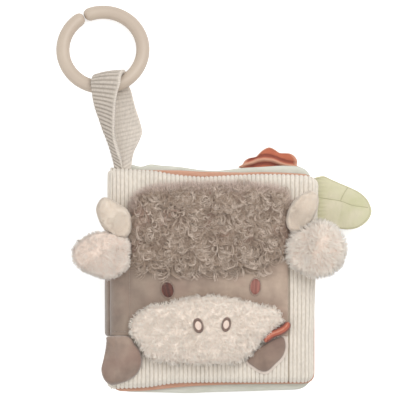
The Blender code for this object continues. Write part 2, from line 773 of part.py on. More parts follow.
def make_forelock(body):
    outline = placed(FORELOCK_SHARES, FORELOCK_CENTRE, FORELOCK_WIDTH, FORELOCK_HEIGHT)
    puff = dome(FORELOCK_RISE, FORELOCK_RIM, FLAT_PUFF_POWER)
    low = above_cover(APPLIQUE_LIFT)

    def high(x, y, share):
        return low(x, y, share) + puff(share)

    pad("forelock_pile", outline, FORELOCK_RING_SHARES, low, high, "curly_pile", body)


def make_eyes(body):
    for side, centre, tilt in (
        ("left", EYE_LEFT, EYE_LEFT_TILT),
        ("right", EYE_RIGHT, EYE_RIGHT_TILT),
    ):
        oval = ellipse(centre, EYE_WIDTH, EYE_HEIGHT, tilt, LIMB_SIDES)
        low = above_cover(APPLIQUE_LIFT)
        high = above_cover(APPLIQUE_LIFT + STITCH_THICKNESS)
        pad(f"eye_{side}", oval, FLAT_RING_SHARES, low, high, "eye_thread", body)


def make_hoof(body):
    """The padded velour hoof over the lower corner by the spine."""
    outline = placed(HOOF_SHARES, HOOF_CENTRE, HOOF_WIDTH, HOOF_HEIGHT)
    puff = dome(HOOF_RISE, HOOF_RIM, PUFF_POWER)
    shares = HOOF_RING_SHARES

    def low(x, y, share):
        return max(cover_top(x, y) + HOOF_SEAT, HOOF_UNDER_Z)

    def high(x, y, share):
        return low(x, y, share) + puff(share)

    def core_high(x, y, share):
        return low(x, y, share) + puff(share) - HOOF_SKIN - GAP

    core = inset(outline, HOOF_SKIN + HOOF_RIM)
    hollow = inset(outline, HOOF_SKIN)
    rings = [ring_of(outline, s, high) for s in (0, *shares)]
    rings.append(ring_of(outline, 1, low))
    rings.append(ring_of(hollow, 1, low))

    def under(x, y, share):
        return max(low(x, y, share), high(x, y, share) - HOOF_SKIN) + GAP * (1 - share)

    rings += [ring_of(hollow, s, under) for s in reversed((0, *shares[:-1]))]
    skin("hoof_velour", rings, "velour", body)
    pad("hoof_stuffing", core, HOOF_STUFFING_SHARES, low, core_high, "wadding", body)


def make_limbs(carriers):
    ear = (EAR_THICKNESS, EAR_LIFT, EAR_ROW_SHARES, "ear_plush")
    horn = (HORN_THICKNESS, HORN_LIFT, HORN_ROW_SHARES, "horn_velour")
    ear_left = (EAR_LEFT_BASE, EAR_LEFT_HEADINGS, EAR_LENGTH, EAR_LEFT_WIDTH)
    ear_right = (EAR_RIGHT_BASE, EAR_RIGHT_HEADINGS, EAR_LENGTH, EAR_RIGHT_WIDTH)
    horn_left = (HORN_LEFT_BASE, HORN_LEFT_HEADINGS, HORN_LEFT_LENGTH, HORN_LEFT_WIDTH)
    horn_right = (HORN_RIGHT_BASE, HORN_RIGHT_HEADINGS, HORN_RIGHT_LENGTH, HORN_RIGHT_WIDTH)
    for name, plan, kind, seat in (
        ("ear_left", ear_left, ear, EAR_LEFT_SEAT),
        ("ear_right", ear_right, ear, LIMB_SEAT),
        ("horn_left", horn_left, horn, LIMB_SEAT),
        ("horn_right", horn_right, horn, LIMB_SEAT),
    ):
        base, headings, length, width = plan
        thickness, lift, rows, material = kind
        base_z = cover_top(*base) + seat + rows[0][2] * thickness / 2
        carrier = pivot(f"{name}_pivot", (*base, base_z), carriers)
        limb(name, base, base_z, headings, (length, width, thickness, lift), rows, carrier, material)


def make_tab(name, outline, z, material, body):
    """A flat tab of two cloths."""
    for side, sign in (("front", 1), ("back", -1)):
        low = flat(z + sign * GAP / 2)
        high = flat(z + sign * (GAP / 2 + TAB_CLOTH))
        pad(f"{name}_{side}", outline, (1.0,), low, high, material, body)


def make_leaf(body):
    points = smooth_open(LEAF_SHARES, TAB_POINTS)
    outline = [(LEAF_ROOT_X + u * LEAF_LENGTH, LEAF_Y + v * LEAF_WIDTH / 2) for u, v in points]
    make_tab("leaf", outline, PAGE_1_Z, "leaf_cloth", body)


def make_flower(body):
    points = smooth_open(FLOWER_SHARES, TAB_POINTS)
    half = FLOWER_WIDTH / 2
    outline = [(FLOWER_X + u * half, FLOWER_ROOT_Y + v * FLOWER_HEIGHT) for u, v in points]
    make_tab("flower", outline, PAGE_2_Z, "terracotta", body)


def make_mouth_leaf(body):
    """The velour leaf at the mouth on its paler, wider backing."""
    size = (MOUTH_LEAF_WIDTH, MOUTH_LEAF_HEIGHT)
    backing = placed(MOUTH_LEAF_SHARES, MOUTH_LEAF_CENTRE, *size, TAB_POINTS)
    front = inset(backing, MOUTH_LEAF_BACK_MARGIN)
    shares = FLAT_RING_SHARES
    low = above_cover(MOUTH_LEAF_SEAT)
    high = above_cover(MOUTH_LEAF_SEAT + TAB_CLOTH)
    pad("mouth_leaf_backing", backing, shares, low, high, "corduroy", body)
    low = above_cover(MOUTH_LEAF_SEAT + TAB_CLOTH + GAP)
    high = above_cover(MOUTH_LEAF_SEAT + TAB_CLOTH + GAP + TAB_CLOTH)
    pad("mouth_leaf_front", front, shares, low, high, "velour", body)


def make_petal(body):
    """The wavy petal that stands on edge beside the muzzle."""
    rings = []
    line = smooth_open(PETAL_SHARES, PETAL_SECTIONS)
    for k, (u, v) in enumerate(line):
        before = line[max(k - 1, 0)]
        after = line[min(k + 1, len(line) - 1)]
        side = Vector((before[1] - after[1], after[0] - before[0])).normalized() * PETAL_THICKNESS / 2
        x = PETAL_START[0] + u * PETAL_LENGTH
        y = PETAL_START[1] + v * PETAL_LENGTH
        low = cover_top(x, y) + APPLIQUE_LIFT
        high = low + PETAL_HEIGHT
        rings.append(
            [
                (x - side.x, y - side.y, low),
                (x + side.x, y + side.y, low),
                (x + side.x, y + side.y, high),
                (x - side.x, y - side.y, high),
            ]
        )
    skin("mouth_petal", rings, "terracotta", body)


def make_strap(body):
    """The strap, from its sewn end over the ring and back under it to its other sewn end."""
    reach = RING_TUBE_RADIUS + STRAP_CLEARANCE + STRAP_THICKNESS / 2
    outward = RING_AXIS.cross(Vector((0, 0, 1))).normalized() * -1
    upward = RING_AXIS.cross(outward).normalized()
    if upward.z < 0:
        upward = -upward
    stations = []
    for sign, table in ((1, STRAP_FRONT_SHARES), (-1, STRAP_BACK_SHARES)):
        start = Vector((STRAP_BASE_X, STRAP_BASE_Y, STRAP_BASE_Z))
        start.x -= sign * STRAP_LEG_SHIFT
        start.z += sign * (STRAP_THICKNESS + STRAP_LEG_GAP) / 2
        end = RING_HOLD + upward * reach * sign
        leg = []
        for along, shift, width in smooth_open(table, STRAP_LEG_SECTIONS):
            centre = start.lerp(end, along)
            centre.x += shift * STRAP_WIDTH
            leg.append((centre, width * STRAP_WIDTH))
        stations.append(leg)
    front, back = stations
    wrap = []
    for k in range(1, STRAP_TURN_SECTIONS):
        angle = math.pi / 2 - math.pi * k / STRAP_TURN_SECTIONS
        centre = RING_HOLD + reach * (math.cos(angle) * outward + math.sin(angle) * upward)
        wrap.append((centre, front[-1][1]))
    line = front + wrap + back[::-1]
    rings = []
    for k, (centre, width) in enumerate(line):
        before = line[max(k - 1, 0)][0]
        after = line[min(k + 1, len(line) - 1)][0]
        across = RING_AXIS if 0 < k < len(line) - 1 else Vector((1, 0, 0))
        normal = (after - before).cross(across).normalized() * STRAP_THICKNESS / 2
        half = across * width / 2
        under = [centre - half - normal, centre + half - normal]
        over = [centre + half + normal, centre - half + normal]
        rings.append(under + over)
    skin("strap", rings, "corduroy", body)


def make_ring(body):
    """The split ring, with both ends rounded where they meet."""
    start = RING_GAP_TO
    end = RING_GAP_FROM + math.tau
    taper = RING_TUBE_RADIUS / RING_RADIUS
    angles = [(start, 0.0)]
    for u in RING_END_SHARES:
        angles.append((start + taper * u, math.sqrt(1 - (1 - u) ** 2)))
    body_start = start + taper
    body_end = end - taper
    for k in range(RING_SECTIONS + 1):
        angles.append((body_start + (body_end - body_start) * k / RING_SECTIONS, 1.0))
    for u in reversed(RING_END_SHARES):
        angles.append((end - taper * u, math.sqrt(1 - (1 - u) ** 2)))
    angles.append((end, 0.0))
    normal = RING_ACROSS.cross(RING_UP)
    rings = []
    for angle, size in angles:
        spoke = math.cos(angle) * RING_ACROSS + math.sin(angle) * RING_UP
        centre = RING_MIDDLE + RING_RADIUS * spoke
        if size == 0:
            rings.append([centre])
            continue
        around = [math.tau * k / TUBE_SIDES for k in range(TUBE_SIDES)]
        tube = RING_TUBE_RADIUS * size
        rings.append([centre + tube * (math.cos(a) * spoke + math.sin(a) * normal) for a in around])
    skin("ring", rings, "ring_plastic", body)


def hoof_fold():
    """The middle of the hoof's sewn edge."""
    x, y = HOOF_CENTRE
    y += HOOF_SHARES[0][1] * HOOF_HEIGHT / 2
    return (x, y, cover_top(x, y) + HOOF_SEAT + HOOF_RIM)


def petal_fold():
    """The outermost point of the petal's sewn edge, over which it leans away from the muzzle."""
    along = Vector(PETAL_SHARES[-1]).normalized()
    out = Vector((along.y, -along.x))
    far = max(PETAL_SHARES, key=lambda p: Vector(p).dot(out))
    place = Vector(PETAL_START) + Vector(far) * PETAL_LENGTH + out * PETAL_THICKNESS / 2
    return (place.x, place.y, cover_top(place.x, place.y) + APPLIQUE_LIFT)


def mouth_leaf_fold():
    """The middle of the mouth leaf's root."""
    x, y = MOUTH_LEAF_CENTRE
    u, v = MOUTH_LEAF_SHARES[1]
    root_x = x + u * MOUTH_LEAF_WIDTH / 2
    root_y = y + v * MOUTH_LEAF_HEIGHT / 2
    return (root_x, root_y, cover_top(root_x, root_y) + MOUTH_LEAF_SEAT + TAB_CLOTH)


def main():
    clear_scene()
    back_cover = pivot("back_cover_base", (0, 0, 0))
    spine = pivot("spine_pivot", BACK_FOLD, back_cover)
    front_cover = pivot("front_cover_pivot", FRONT_FOLD, spine)
    page_1 = pivot("page_1_pivot", PAGE_1_FOLD, spine)
    page_2 = pivot("page_2_pivot", PAGE_2_FOLD, spine)
    make_back_cover(back_cover)
    make_spine(spine)
    make_page("page_1", PAGE_1_Z, page_1)
    make_page("page_2", PAGE_2_Z, page_2)
    make_front_cover(front_cover)
    make_face(front_cover)
    make_forelock(front_cover)
    make_muzzle(front_cover)
    make_eyes(front_cover)
    make_hoof(pivot("hoof_pivot", hoof_fold(), front_cover))
    make_limbs(front_cover)
    make_mouth_leaf(pivot("mouth_leaf_pivot", mouth_leaf_fold(), front_cover))
    make_petal(pivot("petal_pivot", petal_fold(), front_cover))
    make_leaf(pivot("leaf_pivot", LEAF_FOLD, page_1))
    make_flower(pivot("flower_pivot", FLOWER_FOLD, page_2))
    strap = pivot("strap_pivot", STRAP_FOLD, front_cover)
    make_strap(strap)
    make_ring(pivot("ring_pivot", RING_HOLD, strap))


main()
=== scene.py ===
"""Looks of a soft activity book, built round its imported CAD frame. Metres, in the frame's axes:
+X towards the pages' free edges, +Y towards the ring, +Z out of the front cover."""

import json
import math

import bpy
import numpy as np
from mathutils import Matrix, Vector, kdtree


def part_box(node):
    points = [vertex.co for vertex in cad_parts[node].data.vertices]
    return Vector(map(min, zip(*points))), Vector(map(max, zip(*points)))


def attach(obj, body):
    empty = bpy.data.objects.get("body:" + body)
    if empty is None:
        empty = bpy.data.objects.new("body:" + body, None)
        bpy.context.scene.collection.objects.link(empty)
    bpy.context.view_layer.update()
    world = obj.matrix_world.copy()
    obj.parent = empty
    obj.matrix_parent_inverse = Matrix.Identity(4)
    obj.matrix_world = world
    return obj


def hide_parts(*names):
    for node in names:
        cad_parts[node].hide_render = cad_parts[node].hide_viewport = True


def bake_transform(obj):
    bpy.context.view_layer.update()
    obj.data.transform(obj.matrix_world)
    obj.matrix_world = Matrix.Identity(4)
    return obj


# The photograph's frame: the pixel over the origin, and the size of a pixel at the cover's face
PHOTO_SIZE = 400
PHOTO_ORIGIN = (213, 279)
PIXEL = 0.0007

# Cloth thicknesses and gaps
GAP = 0.0003
FLOOR_GAP = 0.00015
FACE_SEAT = 0.0005
APPLIQUE_LIFT = 0.0018

# Waves of a cotton's weave, and a row of stitches: its step, and how much of it is thread
WEAVE = 250
STITCH_STEP = 0.0024
STITCH_SHARE = 0.72
STITCH_RISE = 0.00022
STITCH_RADIUS = 0.00014

# Corduroy
WALE = 0.00298
WALE_HEIGHT = 0.0009
WALE_SHARPNESS = 2.6
POINTS_PER_WALE = 8
ROW_STEP = 0.0017

# Covers
COVER_DEPTH = 0.0083
COVER_CROWN = 0.0025
SHOULDER_WIDTH = 0.0126
SHOULDER_DROP = 0.0045
EDGE_RADIUS = 0.0050
CORNER_RADIUS = 0.0070
TOP_EDGE_PX = (
    (106, 167.6), (113, 168), (133, 169.5), (155, 171.2), (167, 173.5), (180, 175.4), (200, 176.9),
    (215, 176.5), (240, 175.2), (266, 174.4), (292, 175), (309, 176.3), (316, 177),
)
BOTTOM_EDGE_PX = (
    (106, 389), (135, 388), (150, 387), (165, 384.5), (180, 383), (210, 382.4), (240, 382.4),
    (300, 382.5), (316, 382.5),
)
LINING_TOP_PX = (
    (113, 169), (140, 170), (152, 170.2), (165, 170.2), (180, 170.4), (200, 171.5), (215, 171.8),
    (240, 172.4), (266, 172.0), (292, 173.0), (309, 174.5), (316, 176.5),
)
LINING_BOTTOM_PX = (
    (113, 391.5), (135, 391.5), (150, 390.6), (180, 387.4), (210, 385.6), (240, 384.6), (300, 384),
    (316, 384),
)
PAGE_TOP_PX = (
    (116, 166.5), (131, 164.6), (141, 166.6), (150, 164.2), (160, 165.3), (180, 166.9), (200, 169.8),
    (215, 170.6), (228, 169.6), (240, 168.2), (266, 166.5), (283, 165.6), (300, 166.2), (312, 167),
)
PAGE_BOTTOM_PX = (
    (113, 391.5), (135, 392.5), (160, 393), (190, 393.6), (215, 392.6), (240, 392), (270, 391),
    (300, 390), (312, 389.5),
)
HALF_HEIGHT = 0.0755
FREE_SIDE_SLANT = 0.0024
SIDE_SEAM_X = 0.0530
SIDE_SEAM_TOP = 0.012
SEAM_DEPTH = 0.0006
SEAM_WIDTH = 0.0007
BACK_ROUND = 0.0045
SPINE_END_RADIUS = 0.0030
BAND_END_RADIUS = 0.0034
PAGE_CORNER = 0.011
PAGE_RIM = 0.0009
PAGE_SEAM_DEPTH = 0.0006
PAGE_SEAM_SHARE = 0.94
PAGE_SEAM_WIDTH = 0.012
PAGE_SLACK = 0.0002
PAGE_WAVES = 0.00012
COVER_WAVES = 0.0002
LINING_ROLL = 0.0003
LINING_WAVES = 0.0001

# Face panel
PANEL_LEFT = -0.0711
PANEL_SIDE_START = 0.0025
PANEL_RIGHT = 0.0525
PANEL_TOP = 0.0170
PANEL_BOTTOM = -0.0398
PANEL_SEAM_X = -0.0585
PANEL_CLOTH = 0.0011
PANEL_STEP = 0.0011
PANEL_SEAM_WIDTH = 0.0006
PANEL_SEAM_DEPTH = 0.0007
PANEL_HEM = 0.0030
PANEL_HEM_WIDTH = 0.0005
PANEL_HEM_DEPTH = 0.0005
PANEL_HEM_END = -0.056
SEAM_STITCHES_TOP = 0.010
HEM_STITCHES_END = -0.060

# Spine: how far its cloths reach past each other, and a pair of heights for each fold
SPINE_OVERHANG = 0.0016
BAND_LAP_LOW = 0.0012
BAND_LAP_HIGH = 0.0006
SPINE_BULGE = 0.0035
SPINE_CLOTH = 0.0006
SPINE_ROW = 0.0015
SPINE_WAVES = 0.00012
SPINE_UPPER_FOLD = (0.0205, 0.0275)
SPINE_LOWER_FOLD = (0.0020, 0.0085)
# The spine's pieces that stand for its two CAD nodes
SPINE_STANDS_FOR = {"spine_middle_over": ["spine_velour"], "spine_upper_over": ["spine_corduroy"]}

# Limbs: how high they sit, and how steeply their undersides rise clear of the cover
LIMB_SEAT = 0.0008
LIMB_CLEARANCE = 0.15
LIMB_LEAST = 0.0004

# Puffing: frames of the cloth simulation, and for each piece its pressure and its most movement
PUFF_FRAMES = 20
PUFFS = {"page": (0.6, 0.0004), "ear": (2.0, 0.0008), "horn": (3.0, 0.0008), "hoof": (2.0, 0.0006)}
# How thick a limb's root is, as a share of its middle
ROOT_SHARES = {"ear": 0.55, "horn": 0.66}

# Heights of the pads
MUZZLE_RISE = 0.0125
MUZZLE_RIM = 0.0016
MUZZLE_ROW = 0.0049
MUZZLE_FURROW = 0.0005
MUZZLE_ROWS_BELOW = -0.030
MUZZLE_WOOL = 0.0016
FORELOCK_RISE = 0.0062
FORELOCK_RIM = 0.0012
HOOF_RISE = 0.0070
HOOF_RIM = 0.0012
HOOF_FOLD = 0.046

# Outlines in the photograph's pixels
MUZZLE_PX = (
    (129.2, 327.0), (131.5, 318.5), (145.5, 307.0), (162.0, 303.8), (183.8, 298.7),
    (202.9, 295.5), (222.0, 296.8), (241.2, 300.0), (260.3, 305.0), (275.6, 308.3),
    (282.0, 314.6), (284.0, 321.4), (274.6, 331.2), (265.4, 338.8), (257.2, 349.8),
    (247.5, 358.0), (234.8, 363.0), (209.3, 365.0), (183.8, 363.8), (158.3, 361.2),
    (145.5, 356.7), (139.0, 346.5), (132.8, 338.9), (129.6, 332.5),
)
FORELOCK_PX = (
    (130, 200), (137, 193), (150, 187), (180, 184), (210, 183), (250, 184), (280, 188),
    (290, 200), (291, 225), (289, 250), (284, 256), (262, 268), (240, 271), (205, 272),
    (175, 272), (150, 271), (135, 264), (129, 250), (128.5, 225),
)
FORELOCK_TINTS_PX = ((139, 207), (141, 228), (131, 241), (167, 219), (221, 233), (283, 229), (287, 240))
FORELOCK_TINT_RADIUS = 0.0036
FORELOCK_TINT = 0.75
FORELOCK_WHORL = 0.017
FORELOCK_HOOK = 0.011
# Hairs: how many, unless each side has its own number, their length and their radius
HAIRS = {
    "forelock_fuzz": (8000, 0.0026, 0.00010),
    "forelock_wisps": (3600, 0.0050, 0.00006),
    "muzzle_wool": (3600, 0.0029, 0.00018),
    "ear_nap": (0.0012, 0.00012),
    "horn_nap": (9000, 0.0008, 0.00011),
}
# The forelock's layers of curls, from the lowest: random seed, length and lift
FORELOCK_LAYERS = ((11, 0.0098, 0.0016), (12, 0.0088, 0.0024), (13, 0.0078, 0.0032))
FORELOCK_CURLS = 820
CURL_FIBRES = 4
CURL_RADIUS = 0.00015
CURL_STEPS = 14
WISPS_FROM = 0.023
WISPS_LOWER_AT_SIDES = 0.012
EAR_LEFT_PX = (
    (72.0, 254.5), (76.0, 243.5), (89.3, 234.0), (103.4, 230.9), (118.0, 233.5), (129.0, 240.0),
    (130.5, 254.0), (128.5, 267.0), (118.0, 275.5), (107.0, 278.5), (92.5, 273.5), (77.0, 266.0),
)
EAR_RIGHT_PX = (
    (289.0, 240.0), (300.0, 228.5), (320.0, 222.0), (335.0, 228.5), (343.5, 243.0),
    (343.0, 256.0), (338.0, 267.0), (321.0, 275.5), (305.0, 272.5), (290.0, 265.0), (287.0, 252.0),
)
HORN_LEFT_PX = (
    (103.4, 197.7), (98.5, 203.0), (96.8, 210.0), (100.0, 221.0), (105.6, 230.0),
    (114.5, 236.0), (125.0, 238.0), (130.5, 231.0), (131.0, 219.0), (127.0, 210.0),
    (118.0, 204.0), (110.0, 199.0),
)
HORN_RIGHT_PX = (
    (306.7, 192.0), (297.0, 198.0), (290.0, 207.0), (286.5, 218.0), (288.0, 228.0),
    (295.0, 232.0), (304.0, 228.0), (312.0, 218.5), (317.0, 207.0), (317.5, 197.0), (313.5, 192.0),
)
# Each limb's root and tip, and how much of an ear's width is its pad under the pile
EAR_AXES_PX = {"left": ((129, 253), (74, 255)), "right": ((290, 250), (342, 248))}
HORN_AXES_PX = {"left": ((128, 226), (103, 203)), "right": ((290, 224), (314, 196))}
EAR_PAD_SHARE = {"left": 0.93, "right": 0.90}
# An ear's pile: number, length and random seed of its long hairs, and number of its short ones
EAR_HAIRS = {"left": (4600, 0.0026, 31, 6000), "right": (5400, 0.0048, 32, 2600)}
EAR_HAIR_RADIUS = 0.00017
HOOF_PX = (
    (108.0, 336.5), (128.0, 336.0), (134.5, 343.0), (140.0, 351.0), (142.0, 362.0),
    (137.5, 373.5), (129.0, 380.0), (120.0, 383.5), (111.5, 385.0), (104.5, 380.0),
    (101.3, 370.0), (103.5, 359.0), (105.5, 349.0), (106.5, 341.0),
)
MOUTH_LEAF_PX = (
    (247.6, 359.6), (251.1, 354.6), (255.6, 350.0), (264.0, 344.5), (273.0, 339.5),
    (282.0, 336.8), (285.2, 342.0), (285.0, 350.0), (281.5, 357.5), (275.5, 363.5),
    (267.0, 371.0), (258.9, 370.0), (253.4, 366.3), (248.6, 362.7),
)
LEAF_PX = (
    (308.6, 190.0), (309.0, 183.0), (313.5, 178.6), (319.0, 176.6), (324.5, 176.0),
    (331.0, 179.0), (340.0, 183.0), (350.0, 187.2),
    (360.0, 192.3), (367.0, 198.5), (371.0, 206.0), (372.0, 212.5), (369.0, 219.5), (363.0, 225.2),
    (356.0, 228.6), (347.5, 229.6), (339.0, 228.8), (331.0, 226.5), (322.0, 222.0), (313.5, 217.6),
    (308.8, 213.0), (308.4, 202.0),
)
FLOWER_PX = (
    (242.3, 168.0), (243.0, 164.0), (245.0, 160.5), (249.0, 158.0), (256.0, 156.5), (259.5, 153.0),
    (264.0, 149.2), (269.5, 147.0), (275.0, 149.2), (280.0, 152.5), (286.0, 152.9), (290.5, 153.3),
    (295.0, 156.0), (297.6, 160.5), (297.2, 165.0), (296.4, 168.0),
)
FLOWER_FOLD_PX = (
    (243.0, 165.0), (252.0, 162.6), (258.0, 160.4), (266.0, 159.4), (274.0, 160.6), (284.0, 164.4),
    (298.0, 167.0),
)
MOUTH_LEAF_BORDER = 0.0015
MOUTH_LEAF_HALF = 0.0125
MOUTH_BACKING_TOP = 0.0013
MOUTH_LEAF_SEAT = 0.0014
MOUTH_LEAF_RISE = 0.0022
MOUTH_BORDER_SHIFT = (0.0004, -0.0006)
PETAL_LINE_PX = (
    (265.5, 342.0), (267.3, 337.8), (271.8, 334.0), (277.5, 331.8), (282.5, 329.4),
    (286.4, 326.0), (288.3, 321.8),
)
PETAL_WIDTH = 0.0058
PETAL_RISE = 0.0066
PETAL_FLAP = 0.0022
PETAL_LEAST = 0.0012
# Share of the petal's half width past which its underside stands free
PETAL_HOLLOW = 0.45

# Stitched eyes and nostrils: centre in pixels, width and height, tilt
EYES = {
    "left": ((167.6, 289.8), 0.0083, 0.0110, math.radians(14)),
    "right": ((255.3, 286.6), 0.0070, 0.0112, math.radians(-4)),
}
NOSTRILS = {
    "left": ((198.3, 325.1), 0.0073, 0.0105, math.radians(12)),
    "right": ((226.1, 324.0), 0.0066, 0.0101, math.radians(-10)),
}
NOSTRIL_BED_DROP = 0.0002
NOSTRIL_BED_DEPTH = 0.0015
THREAD_RADIUS = 0.00019
# Step over which a ground's slope is measured
SLOPE_STEP = 0.0008
SOFT_SHADING = 0.7

# The leaf's veins, in pixels, of which the first few are stitched and the others only pressed in
LEAF_VEINS_PX = (
    ((318, 197.0), (326, 198.5), (341, 201.0), (352, 205.0), (368.5, 207.5)),
    ((341, 200.5), (344, 194.0), (348, 187.5)),
    ((352, 205.0), (359, 199.0), (363, 196.0)),
    ((327, 198.5), (329, 190.0), (333, 181.5)),
    ((341, 201.5), (341, 212.0), (338, 222.0)),
    ((352, 205.5), (353, 215.0), (352, 224.0)),
)
STITCHED_VEINS = 2
VEIN_WIDTH = 0.0009
VEIN_DEPTH = 0.00022
LEAF_HEM = 0.95
LEAF_SWELL = 0.0014
LEAF_WAVES = 0.0006
LEAF_CREASE = 0.0004
LEAF_CREASE_STEP = 0.0028
LEAF_CREASE_REACH = 0.012
TAB_RIM = 0.0004

# Flower: its swell, its waves across, its folded edge and the hem round it
FLOWER_SWELL = 0.0009
FLOWER_WAVE = 0.0006
FLOWER_WAVE_STEP = 0.0095
FLOWER_WAVE_START = 0.004
FLOWER_FREE = 0.006
FLOWER_CREST = 0.0012
FLOWER_HEM = 0.0006

# Distances on each side of a joint's axis at which bend_as finds a held point and a free point
ROOT_HELD = 0.0006
ROOT_BEND = 0.0050
# How deep a tab's root lies between its page's cloths
TAB_SEAM = 0.0026

# Ring and strap
RING_CENTRE = (-0.07735, 0.161)
RING_RADIUS = 0.0281
RING_TUBE = 0.0047
RING_TILT = math.radians(18.8)
RING_SPLIT = math.radians(118.3)
SPLIT_GAP = math.radians(1.2)
RING_END_STEPS = 14
RING_STEPS = 180
RING_SIDES = 28
STRAP_REACH = 0.0078
STRAP_SEWN_HALF = 0.0008
STRAP_CLOTH_HALF = 0.0007
STRAP_RIB = 0.0029
STRAP_RIB_HEIGHT = 0.0010
STRAP_CURL = 0.0010
STRAP_EDGE = 0.0013
STRAP_BACK_EDGE = 0.0010
STRAP_STITCH = 0.0012
STRAP_FREE_Y = 0.131
STRAP_TILT = 0.0026
STRAP_BASE_Z = 0.0236
STRAP_HOLD = (-0.0748, 0.1344, 0.0228)
# Row of the photograph, with the front leg's left and right edges and the back leg's
STRAP_ROWS_PX = (
    (169.5, 114.4, 122.6, 120.0, 131.0),
    (163.0, 113.4, 121.6, 119.5, 131.6),
    (157.0, 112.2, 119.6, 118.5, 132.4),
    (150.0, 110.2, 117.4, 117.0, 134.4),
    (144.0, 108.2, 115.6, 115.0, 137.4),
    (137.0, 105.6, 114.2, 114.0, 140.6),
    (131.0, 103.0, 113.8, 112.0, 142.0),
    (120.0, 99.2, 114.2, 110.0, 139.4),
    (108.0, 95.0, 115.0, 109.0, 135.4),
    (98.0, 92.6, 116.2, 107.0, 132.8),
    (90.0, 91.6, 118.2, 104.0, 130.6),
    (83.0, 90.8, 120.4, 100.0, 127.0),
)

# Camera, floor and light
CAMERA_DISTANCE = 4.0
CAMERA_FOCUS_Z = 0.030
SENSOR_WIDTH = 0.036
FLOOR_SIZE = 6.0
FLOOR_GREY = 0.93
FLOOR_GLOW = 0.45
SKY_STRENGTH = 0.72
# Lamps: place, side and power
LAMPS = {"key": ((0.55, 0.75, 1.3), 1.1, 12.0), "fill": ((-0.9, -0.4, 1.0), 1.4, 4.2)}
LAMP_AIM = (0, 0.03, 0)

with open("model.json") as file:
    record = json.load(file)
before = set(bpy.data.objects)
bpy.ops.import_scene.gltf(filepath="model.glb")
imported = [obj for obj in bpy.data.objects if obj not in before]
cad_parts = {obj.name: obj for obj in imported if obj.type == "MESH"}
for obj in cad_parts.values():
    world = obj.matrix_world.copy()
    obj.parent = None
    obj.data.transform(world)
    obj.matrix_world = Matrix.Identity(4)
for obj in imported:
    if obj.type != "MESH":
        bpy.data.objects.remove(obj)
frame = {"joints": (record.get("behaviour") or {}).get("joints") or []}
JOINTS = {joint["name"]: joint for joint in frame["joints"]}
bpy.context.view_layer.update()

# Heights and sides from the frame
RIM_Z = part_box("front_cover_corduroy")[0].z
FACE_Z = RIM_Z + COVER_DEPTH
LEFT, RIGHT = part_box("front_cover_corduroy")[0].x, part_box("front_cover_corduroy")[1].x


# Numbers and curves


def unit(vectors):
    """The vectors at length 1."""
    return vectors / np.maximum(np.linalg.norm(vectors, axis=-1, keepdims=True), 1e-12)


def plan(points):
    """Places in the frame's plan from pixels of the photograph."""
    p = np.asarray(points, float)
    return np.stack([(p[:, 0] - PHOTO_ORIGIN[0]) * PIXEL, (PHOTO_ORIGIN[1] - p[:, 1]) * PIXEL], axis=1)


def evenly(line, count, closed=False):
    """count points at equal steps along a line of points."""
    line = np.asarray(line, float)
    if closed:
        line = np.vstack([line, line[:1]])
    steps = np.linalg.norm(np.diff(line, axis=0), axis=1)
    along = np.concatenate([[0], np.cumsum(steps)])
    wanted = np.linspace(0, along[-1], count + 1)[:-1] if closed else np.linspace(0, along[-1], count)
    return np.stack([np.interp(wanted, along, line[:, k]) for k in range(line.shape[1])], axis=1)


def rounded(points, count, closed=True):
    """count even points of the Catmull-Rom curve through these points."""
    p = np.asarray(points, float)
    n = len(p)
    if closed:
        at = np.arange(n * 24) / 24
        i = at.astype(int)
        near = [p[(i + k) % n] for k in (-1, 0, 1, 2)]
    else:
        at = np.linspace(0, n - 1, (n - 1) * 24 + 1)
        i = np.minimum(at.astype(int), n - 2)
        near = [p[np.clip(i + k, 0, n - 1)] for k in (-1, 0, 1, 2)]
    f = (at - i)[:, None]
    a, b, c, d = near
    fine = 0.5 * (2 * b + (c - a) * f + (2 * a - 5 * b + 4 * c - d) * f**2 + (3 * (b - c) + d - a) * f**3)
    return evenly(fine, count, closed)


def eased(value):
    """A smooth step from 0 to 1."""
    share = np.clip(value, 0, 1)
    return share * share * (3 - 2 * share)


def bell(gap, width):
    """A bell curve: 1 where a gap is 0, and near 0 past twice the width."""
    return np.exp(-((gap / width) ** 2))


def ripple(x, y, scale, seed=0):
    """Smooth waves between -1 and 1 over the plan, the same each run."""
    random = np.random.default_rng(seed)
    total = np.zeros(np.shape(x))
    for _ in range(6):
        angle = random.uniform(0, math.tau)
        phase = random.uniform(0, math.tau)
        size = scale * random.uniform(0.7, 1.6)
        total = total + np.sin((np.cos(angle) * x + np.sin(angle) * y) * math.tau / size + phase)
    return total / 6


# Meshes


def volume(points, groups):
    """The volume inside closed faces, negative where they face inwards."""
    total = 0.0
    middle = points.mean(0)
    for group in groups:
        corner = points[group].astype(float) - middle
        for k in range(1, group.shape[1] - 1):
            total += (corner[:, 0] * np.cross(corner[:, k], corner[:, k + 1])).sum()
    return total / 6


def values_of(items, key, width=1, kind=np.float32):
    """One of the values of a mesh's points, faces or attributes, as an array of rows."""
    values = np.empty(len(items) * width, kind)
    items.foreach_get(key, values)
    return values.reshape(-1, width) if width > 1 else values


